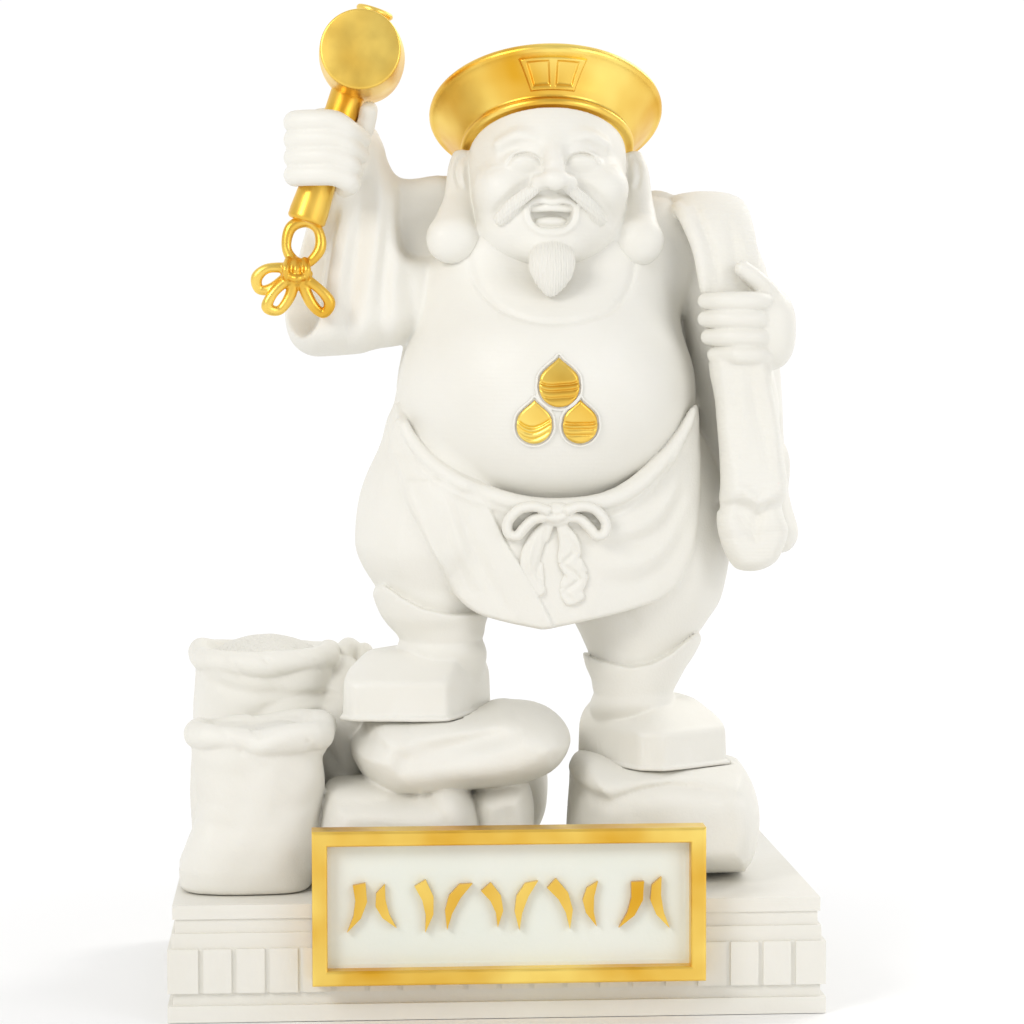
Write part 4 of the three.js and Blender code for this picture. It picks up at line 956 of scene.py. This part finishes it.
def make_heap():
    clay = Clay((-202, -122, -4), (62, 104, 158), SACK_CELL)
    open_sack(clay, (-141, -61), [40, 42, 40, 37.5, 37.5, 39, 40.5, 41], [39, 41, 41, 39, 38, 38, 38, 38], 101, 0, 0.6,
              [-9, -8, -5, -2, 0, 0, 0, 0])
    open_sack(clay, (-139, 26), [45, 48, 48, 47, 46, 45, 44, 44], [42, 45, 45, 44, 43, 42, 41, 41], 139, 9, 2.2,
              [0] * 8)
    for shape, blend in ((mass((-26, 44, 44), (68, 50, 48), power=2.5), 3), (mass((-90, 20, 70), (26, 40, 62)), 3),
                         (mass((-86, 30, 134), (8, 10, 8)), 2), (mass((-76, 30, 130), (6.5, 9, 9)), 2)):
        clay.add(shape, blend, CLOTH)
    clay.carve([([(-176, 121), (-150, 113), (-120, 111), (-92, 108)], -1.8, 3, 4),
                ([(-146, 84), (-128, 98), (-108, 103), (-88, 100)], 3.5, 6, 8),
                ([(-150, 96), (-130, 106), (-106, 110), (-86, 108)], -2.2, 3, 4),
                ([(-112, 88), (-100, 76), (-92, 62)], -2.5, 4, 6)], back=20)
    clay.add(pillow([(-14, 46), (-9, 58), (4, 63), (17, 63.5), (24.5, 56), (27.5, 38), (26, 8), (14, 1), (-12, 1)],
                    -86, 16, 14), 2, CLOTH)
    clay.add(pillow([(-106, 44), (-100, 61), (-74, 64), (-54, 60.5), (-43, 61), (-32, 64.5), (-19, 61), (-10, 50),
                     (-7, 34), (-9, 14), (-22, 2), (-60, 0), (-96, 2), (-108, 20)], -107, 6, 19), 2, CLOTH)
    clay.add(pillow([(-80, 90), (-86, 81), (-80, 66), (-64, 53), (-45, 50), (-29, 53), (-11, 55), (12, 57), (30, 62),
                     (43, 70), (50, 84), (45, 97), (30, 106), (10, 108), (-4, 105), (-28, 104), (-68, 103)],
                    -98, 36, 23), 2, CLOTH)
    clay.carve([([(-60, 77), (-48, 82), (-32, 84.5), (-14, 87.5), (1, 90.5), (16, 94)], -5.5, 6, 6), ([(-70, 68),
        (-48, 66), (-20, 69), (10, 72), (34, 80)], 2.5, 9, 9), ([(-50, 94), (-20, 97), (14, 101)], 2.5, 8, 6),
        ([(-74, 92), (-60, 84), (-50, 80)], -2.0, 4, 5), ([(-104, 55), (-82, 53), (-62, 54), (-46, 58)], -3.0, 4, 5),
        ([(-42, 60), (-38, 52), (-28, 44)], -1.6, 4, 6), ([(0, 58), (6, 46), (5, 34)], -1.2, 4, 6)], back=0, fade=20)
    clay.carve([
        ([(-182, 78), (-160, 72), (-134, 75)], -0.8, 5, 8), ([(-106, 60), (-118, 52), (-134, 53)], -0.9, 5, 7),
        ([(-188, 34), (-170, 42), (-152, 36)], -0.8, 5, 7), ([(-176, 90), (-173, 74), (-178, 54)], 0.8, 5, 6),
    ], back=-40, fade=20)
    finish_sacks(clay)
    return clay.mesh(most=100000)


def finish_sacks(clay):
    """Clears the room under the shoes and the floor, and gives the cloth its slight unevenness."""
    gap = 0.7
    for outline, sole in ((LEFT_SHOE, LEFT_SOLE), (RIGHT_SHOE, RIGHT_SOLE)):
        planes = [((0, 0, sole - gap), (0, 0, -1))]
        planes += [((x + out[0] * gap, y + out[1] * gap, sole), (*out, 0)) for (x, y), out in sides(outline)]
        clay.cut(facets(planes, (*np.min(outline, axis=0), sole), (*np.max(outline, axis=0), sole + 60), 0), 0.5)
    clay.press((-202, -130, -10), (200, 130, 200), lambda x, y, z: (
        0.3 * np.sin(x * 0.13 + 1.3 * np.sin(y * 0.09)) * np.sin(z * 0.12 + np.sin(x * 0.07))
        + 0.1 * np.sin(x * 0.43 + z * 0.31 + 2 * np.sin(z * 0.1)) * np.sin(y * 0.37)))
    clay.cut(facets([((0, 0, 0.5), UP)], (-300, -300, -10), (300, 300, 1), 0))


def make_right_sack():
    clay = Clay((36, -104, -4), (178, 52, 88), SACK_CELL)
    clay.add(pillow([(51, 64), (55, 73), (64, 76), (80, 73), (110, 71), (150, 71), (159, 65), (166, 50), (168, 36),
                     (166, 18), (160, 5), (148, 1), (62, 1), (51, 6), (49, 28), (50, 48)], -92, 34, 22), kind=CLOTH)
    clay.carve([
        ([(44, 62), (55, 57.5), (70, 53.5), (88, 57.5), (106, 59.5), (130, 57.5), (154, 53)], -3.4, 3, 6),
        ([(50, 66), (64, 62), (88, 65), (120, 66), (150, 62)], 2.0, 5, 5),
        ([(60, 46), (72, 34), (70, 16)], -1.0, 6, 8), ([(150, 48), (145, 32), (150, 14)], -1.0, 6, 8),
        ([(84, 46), (110, 42), (138, 45)], 1.2, 8, 8),
    ], back=0, fade=20)
    finish_sacks(clay)
    return clay.mesh(most=46000)


# Gilded pieces

HAT_TILT = math.radians(30)
HAT_AT = (38.5, -8, 450.5)
HAT_RIM, HAT_BAND, HAT_FLARE, HAT_DOME, HAT_LIP, HAT_BEAD = 73, 51.5, 26, 12, 3.4, 3.0
QUARTER = math.pi / 2


def arc(cx, cy, radius, start, end, count):
    angles = (start + (end - start) * i / (count - 1) for i in range(count))
    return [(cx + radius * math.cos(a), cy + radius * math.sin(a)) for a in angles]


def on_flare(along, t):
    """A point of the hat's flared side, as (radius, height): how far along it, and how far through its bulge."""
    low_radius, low_height = HAT_BAND + 2.2, 4.4
    return (low_radius + (HAT_RIM - HAT_LIP - HAT_BAND - 2.2) * along,
            low_height + (HAT_FLARE - HAT_LIP - 4.4) * along + 0.9 * math.sin(math.pi * t))


def make_hat():
    """The flared hat, hollowed above the head so that the crown of the head sits inside."""
    profile = [(0, 30)] + [(r, 30 - 0.0054 * r ** 2) for r in (10, 20, 30, 40)]
    profile += [(HAT_BAND - r, height) for r, height in ((5, 14), (5, -3.9), (4.4, -4.5), (3.4, -4.5), (2.8, -3.8),
                                                         (1.9, -2.4))]
    profile += arc(HAT_BAND - 0.4, 0, HAT_BEAD, -math.pi * 0.4, math.pi * 0.42, 10)
    profile += [(HAT_BAND + 2.2, 4.4)] + [on_flare(t, t) for t in (0.2, 0.4, 0.6, 0.8)]
    profile += arc(HAT_RIM - HAT_LIP, HAT_FLARE, HAT_LIP, -QUARTER, math.pi * 0.9, 14)
    profile += [(HAT_RIM - 2 * HAT_LIP - 2, HAT_FLARE + 1)]
    profile += [(62 * math.cos(a), HAT_FLARE + 1 + (HAT_DOME - 1) * math.sin(a)) for a in np.linspace(0.1, 1.45, 12)]
    profile += [(0, HAT_FLARE + HAT_DOME)]
    both = joined([lathe(profile, 160 if FINE else 64), make_badge()])
    return placed(both, Matrix.Translation(HAT_AT) @ Matrix.Rotation(-HAT_TILT, 4, "X"))


def make_badge():
    """The raised badge at the front of the flare: a trapezoid frame with two sunk bars."""
    across, up = (72, 40) if FINE else (36, 20)

    def point(u, v, lift):
        radius, z = on_flare(0.08 + 0.86 * v, v)
        radius, z = radius + 0.72 * lift, z - 0.69 * lift
        angle = -QUARTER + u * (13.5 + 8.0 * v) / radius
        return (radius * math.cos(angle), radius * math.sin(angle), z)

    def height(u, v):
        edge = min(1 - abs(u), 1.3 * v, 1.3 * (1 - v))
        inside = min(0.37 - abs(abs(u) - 0.46), 1.3 * (v - 0.12), 1.3 * (0.89 - v))
        return 2.2 * min(1, max(0, edge / 0.06)) - 2.0 * min(1, max(0, inside / 0.09))

    places = [(2 * i / across - 1, j / up) for j in range(up + 1) for i in range(across + 1)]
    verts = [point(u, v, -1.5) for u, v in places] + [point(u, v, height(u, v)) for u, v in places]
    row, sheet, faces = across + 1, len(places), []
    for j in range(up):
        for a in range(j * row, j * row + across):
            faces += [(a, a + row, a + row + 1, a + 1),
                      tuple(sheet + k for k in (a, a + 1, a + row + 1, a + row))]
    border = [*range(across), *range(across, up * row + across, row),
              *range(up * row + across, up * row, -1), *range(up * row, 0, -row)]
    faces += [(a, b, sheet + b, sheet + a) for a, b in zip(border, border[1:] + border[:1])]
    return new_mesh(verts, faces)


def aligned(start, end):
    """A matrix that takes +Z from the origin to the line from start to end."""
    way = Vector(end) - Vector(start)
    return Matrix.Translation(start) @ way.to_track_quat("Z", "Y").to_matrix().to_4x4()


def make_mallet():
    segments = 120 if FINE else 48
    front, radius, length = Vector((-78.5, -70, 506)), 24.4, 58
    face = [(0, 0), (radius * 0.6, 0)] + arc(radius - 1.4, 1.4, 1.4, -QUARTER, -0.15, 6)
    side = [(radius + 1.6 * math.sin(math.pi * t), 1.6 + (length - 3.2) * t) for t in np.linspace(0.03, 0.97, 16)]
    head = lathe(face + side + [(r, length - z) for r, z in reversed(face)], segments)
    head.transform(aligned(front, front + Vector((0.053, 1, -0.08)).normalized() * length))
    end, r = float(np.linalg.norm(HANDLE_END - HANDLE_TOP)), HANDLE_RADIUS
    shaft = [(0, -3)] + arc(r - 0.9, -1, 2.0, -QUARTER, QUARTER, 8) + [(r, 1.6), (r, end - 26), (r + 1.4, end - 4)]
    shaft += arc(r - 1.2, end, 2.6, -0.3, QUARTER, 6) + [(0, end + 2.6)]
    handle = lathe(shaft, segments // 2)
    handle.transform(aligned(Vector(HANDLE_TOP), Vector(HANDLE_END)))
    return joined([placed(joined([head, handle])), make_cord()])


def make_cord():
    clay = Clay((-156, -60, 338), (-84, -26, 412), 0.7 if FINE else 1.2)
    loops = [
        [(-112, -40, 404), (-104.5, -41, 399), (-103, -42, 388), (-110, -43, 379), (-118, -43, 379), (-123.5, -42, 388),
         (-121, -41, 400)],
        [(-121, -45, 374), (-134, -47, 375.5), (-141.5, -46, 370), (-140, -44, 362.5), (-131, -44, 364)],
        [(-121, -45, 369), (-131, -47, 361), (-135.5, -46, 352), (-128, -44, 350), (-121, -44, 360)],
        [(-114, -45, 369), (-104, -47, 363), (-97.5, -46, 354.5), (-101.5, -44, 348), (-109, -44, 355)],
    ]
    for loop in loops:
        clay.add(limb(ring(loop), ring([3.3 + 0.3 * (-1) ** i for i in range(len(loop))]), per_span=6), 0.6)
    clay.add(mass((-117.5, -45, 373.5), (8.2, 7, 8.2)), 1.5)
    turns = [[(x, -46, 380), (bulge, -51.5, 374), (x, -47, 367)]
             for x, bulge in ((-122.5, -124), (-117.5, -117.5), (-112.5, -111))]
    for turn in turns + [[(-125, -47, 372), (-117.5, -53, 369), (-110, -47, 372)]]:
        clay.add(limb(turn, 2.4), 0.6)
    return clay.mesh(most=40000)


# Place of the lowest point, width and length of each drop
JEWELS = {"jewel_top": (39, 291, 25.0, 31.0), "jewel_left": (24.2, 269, 21.8, 27.6),
          "jewel_right": (51.8, 269, 21.8, 27.6)}


def jewel_line(x0, z0, width, length):
    """Outline of a drop: round below, drawn in to a fine point above."""
    half = width / 2
    side = [(half * math.cos(a), half + half * math.sin(a)) for a in np.linspace(-QUARTER, 0.25, 14)]
    for t in np.linspace(0.12, 1, 14):
        side.append((half * 0.975 * math.cos(QUARTER * t ** 1.15) ** 1.45, half * 1.25 + (length - half * 1.25) * t))
    return np.array([(x0 + w, z0 + v) for w, v in side] + [(x0 - w, z0 + v) for w, v in side[-2:0:-1]])


def make_jewel(at):
    """A drop that follows the belly, with two wavy ridges across it."""
    x0, z0, _, length = at
    clay = Clay((x0 - 15, -102, z0 - 3), (x0 + 15, -74, z0 + 33), 0.4 if FINE else 0.8)
    line = jewel_line(*at)

    def distance(x, y, z):
        u, v = x - x0, z - z0
        outline, lift = outline_distance(line, x, z) + 0.2, BELLY.distance(x, y, z)
        wave = v - 1.2 * np.sin(u * 0.24 + x0) - 0.03 * u * u
        cuts = sum(depth * np.exp(-((wave - level * length) / wide) ** 2)
                   for level, depth, wide in ((0.15, 1.0, 0.9), (0.28, 0.9, 0.8), (0.4, 1.2, 1.0)))
        top = 2.0 + 0.5 * np.exp(-((wave - 0.34 * length) / 1.2) ** 2) - cuts * step(-outline, 0.2, 1.6)
        top = top - 0.9 * step(outline, -1.6, 0.2)
        return smooth_max(outline, np.maximum(lift - top, 0.45 - lift), 0.5).astype(np.float32)

    clay.add(Shape((x0 - 14, -100, z0 - 2), (x0 + 14, -76, z0 + 32), distance))
    return clay.mesh(most=24000)


def make_frame_bar():
    """The plaque's frame and the faces of its stone lip, which closes the gap round the panel."""
    low, high = (np.array(c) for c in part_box("plaque_frame"))
    bar, worn, lip, slit, depth = 9 * MM, 1.6 * MM, 8.4 * MM, 2.4 * MM, high[1] - low[1]
    edge = [(worn * (1 - math.sin(a)), depth - worn * (1 - math.cos(a))) for a in np.linspace(QUARTER, 0, 6)]
    section = [(0, 0), *edge, *((bar - inset, rise) for inset, rise in reversed(edge))]
    section += [(bar, lip), (bar + slit, lip), (bar + slit, lip - MM), (bar, lip - MM), (bar, 0)]
    verts = [(low[0] + inset if left else high[0] - inset, high[1] - rise, low[2] + inset if below else high[2] - inset)
             for left, below in ((True, True), (False, True), (False, False), (True, False)) for inset, rise in section]
    count, faces = len(section), []
    for here in range(0, 4 * count, count):
        there = (here + count) % (4 * count)
        faces += [(here + i, there + i, there + j, here + j) for i, j in zip(range(count), [*range(1, count), 0])]
    return new_mesh(verts, faces), [int(count - 5 <= i <= count - 3) for _ in range(4) for i in range(count)]


# Assembly

put("figure_carving", joined(make_body() + [make_head()]), CARVED, "figure")
put("sack_heap_carving", make_heap(), CARVED, "sack_heap")
put("right_sack_carving", make_right_sack(), CARVED, "right_sack")
put("hat_gilded", make_hat(), [gold], "hat")
put("mallet_gilded", make_mallet(), [gold], "mallet")
for name, at in JEWELS.items():
    put(name + "_gilded", make_jewel(at), [gold], name)
bar, lip_faces = make_frame_bar()
put("plaque_frame_gilded", bar, [gold, panel_stone], "plaque_frame")
bar.polygons.foreach_set("material_index", lip_faces)
bar.polygons.foreach_set("use_smooth", [False] * len(bar.polygons))


def softened(name, material, width):
    """A CAD node that keeps its shape, with its finish and its worn edges."""
    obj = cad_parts[name]
    obj.data.materials.clear()
    obj.data.materials.append(material)
    bevel = obj.modifiers.new("worn edges", "BEVEL")
    bevel.width, bevel.segments = width * MM, 2
    bevel.limit_method, bevel.angle_limit = "ANGLE", math.radians(35)


softened("plinth", plinth_stone, 0.7)
softened("plaque_panel", panel_stone, 0.4)
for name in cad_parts:
    if name.startswith("plaque_stroke"):
        softened(name, gold, 0.5)


# Camera, floor and light

WORLD_FRONT, WORLD_BACK, WHITE = 0.6, 1.02, (1.0, 1.0, 1.0)


def make_camera():
    data = bpy.data.cameras.new("camera")
    data.lens, data.sensor_width = 106.17, 36
    camera = added("camera", data)
    camera.location = (-0.105, -1.894, 0.397)
    yaw, pitch, roll = 3.679, 3.149, 0.109
    camera.rotation_euler = Euler([math.radians(a) for a in (90 - pitch, roll, -yaw)])
    bpy.context.scene.camera = camera


def area_light(name, at, power, size, colour):
    data = bpy.data.lights.new(name, "AREA")
    data.energy, data.size, data.color = power, size, colour
    light = added(name, data)
    light.location = at
    light.rotation_euler = (Vector((0, 0, 0.3)) - Vector(at)).to_track_quat("-Z", "Y").to_euler()


def make_floor():
    size, height = 12, -0.0005
    mesh = new_mesh([(x * size, y * size, height) for x, y in ((-1, -1), (1, -1), (1, 1), (-1, 1))], [(0, 1, 2, 3)])
    material, tree, bsdf, place = shader("pale_floor", (0.9, 0.9, 0.9), 0.8)
    bumped(tree, bsdf, [(noise(tree, place, 80.0, 3.0), 0.0005, 0.1)])
    # Away from the object the floor glows white like the studio's backdrop
    far = node(tree, "VectorMath", Vector=place)
    far.operation = "LENGTH"
    fade = node(tree, "MapRange", Value=far.outputs["Value"], From_Min=0.15, From_Max=0.7)
    fade.interpolation_type = "SMOOTHSTEP"
    glow = node(tree, "Emission", Color=(*WHITE, 1), Strength=1.05)
    mix = node(tree, "MixShader", Fac=fade.outputs["Result"])
    tree.links.new(bsdf.outputs["BSDF"], mix.inputs[1])
    tree.links.new(glow.outputs["Emission"], mix.inputs[2])
    fill(tree, tree.nodes["Material Output"], {"Surface": mix.outputs["Shader"]})
    mesh.materials.append(material)
    added("floor", mesh)


def make_world():
    """A white studio: bright behind the object, and softer on the side of its front."""
    world = bpy.data.worlds.new("world")
    world.use_nodes = True
    tree = world.node_tree
    way = node(tree, "SeparateXYZ", Vector=node(tree, "TexCoord").outputs["Generated"])
    level = node(tree, "MapRange", Value=way.outputs["Y"], From_Min=-0.6, From_Max=0.8, To_Min=WORLD_FRONT,
                 To_Max=WORLD_BACK)
    fill(tree, tree.nodes["Background"], {"Strength": level.outputs["Result"], "Color": (*WHITE, 1)})
    bpy.context.scene.world = world


make_camera()
make_floor()
make_world()
area_light("key", (-1.5, -1.7, 1.5), 22, 0.9, (1.0, 0.985, 0.96))
area_light("fill", (1.6, -1.7, 1.0), 11, 1.2, WHITE)
area_light("rim", (1.3, 0.9, 1.4), 10, 0.8, (1.0, 0.98, 0.95))
bpy.context.scene.view_settings.view_transform = "Standard"
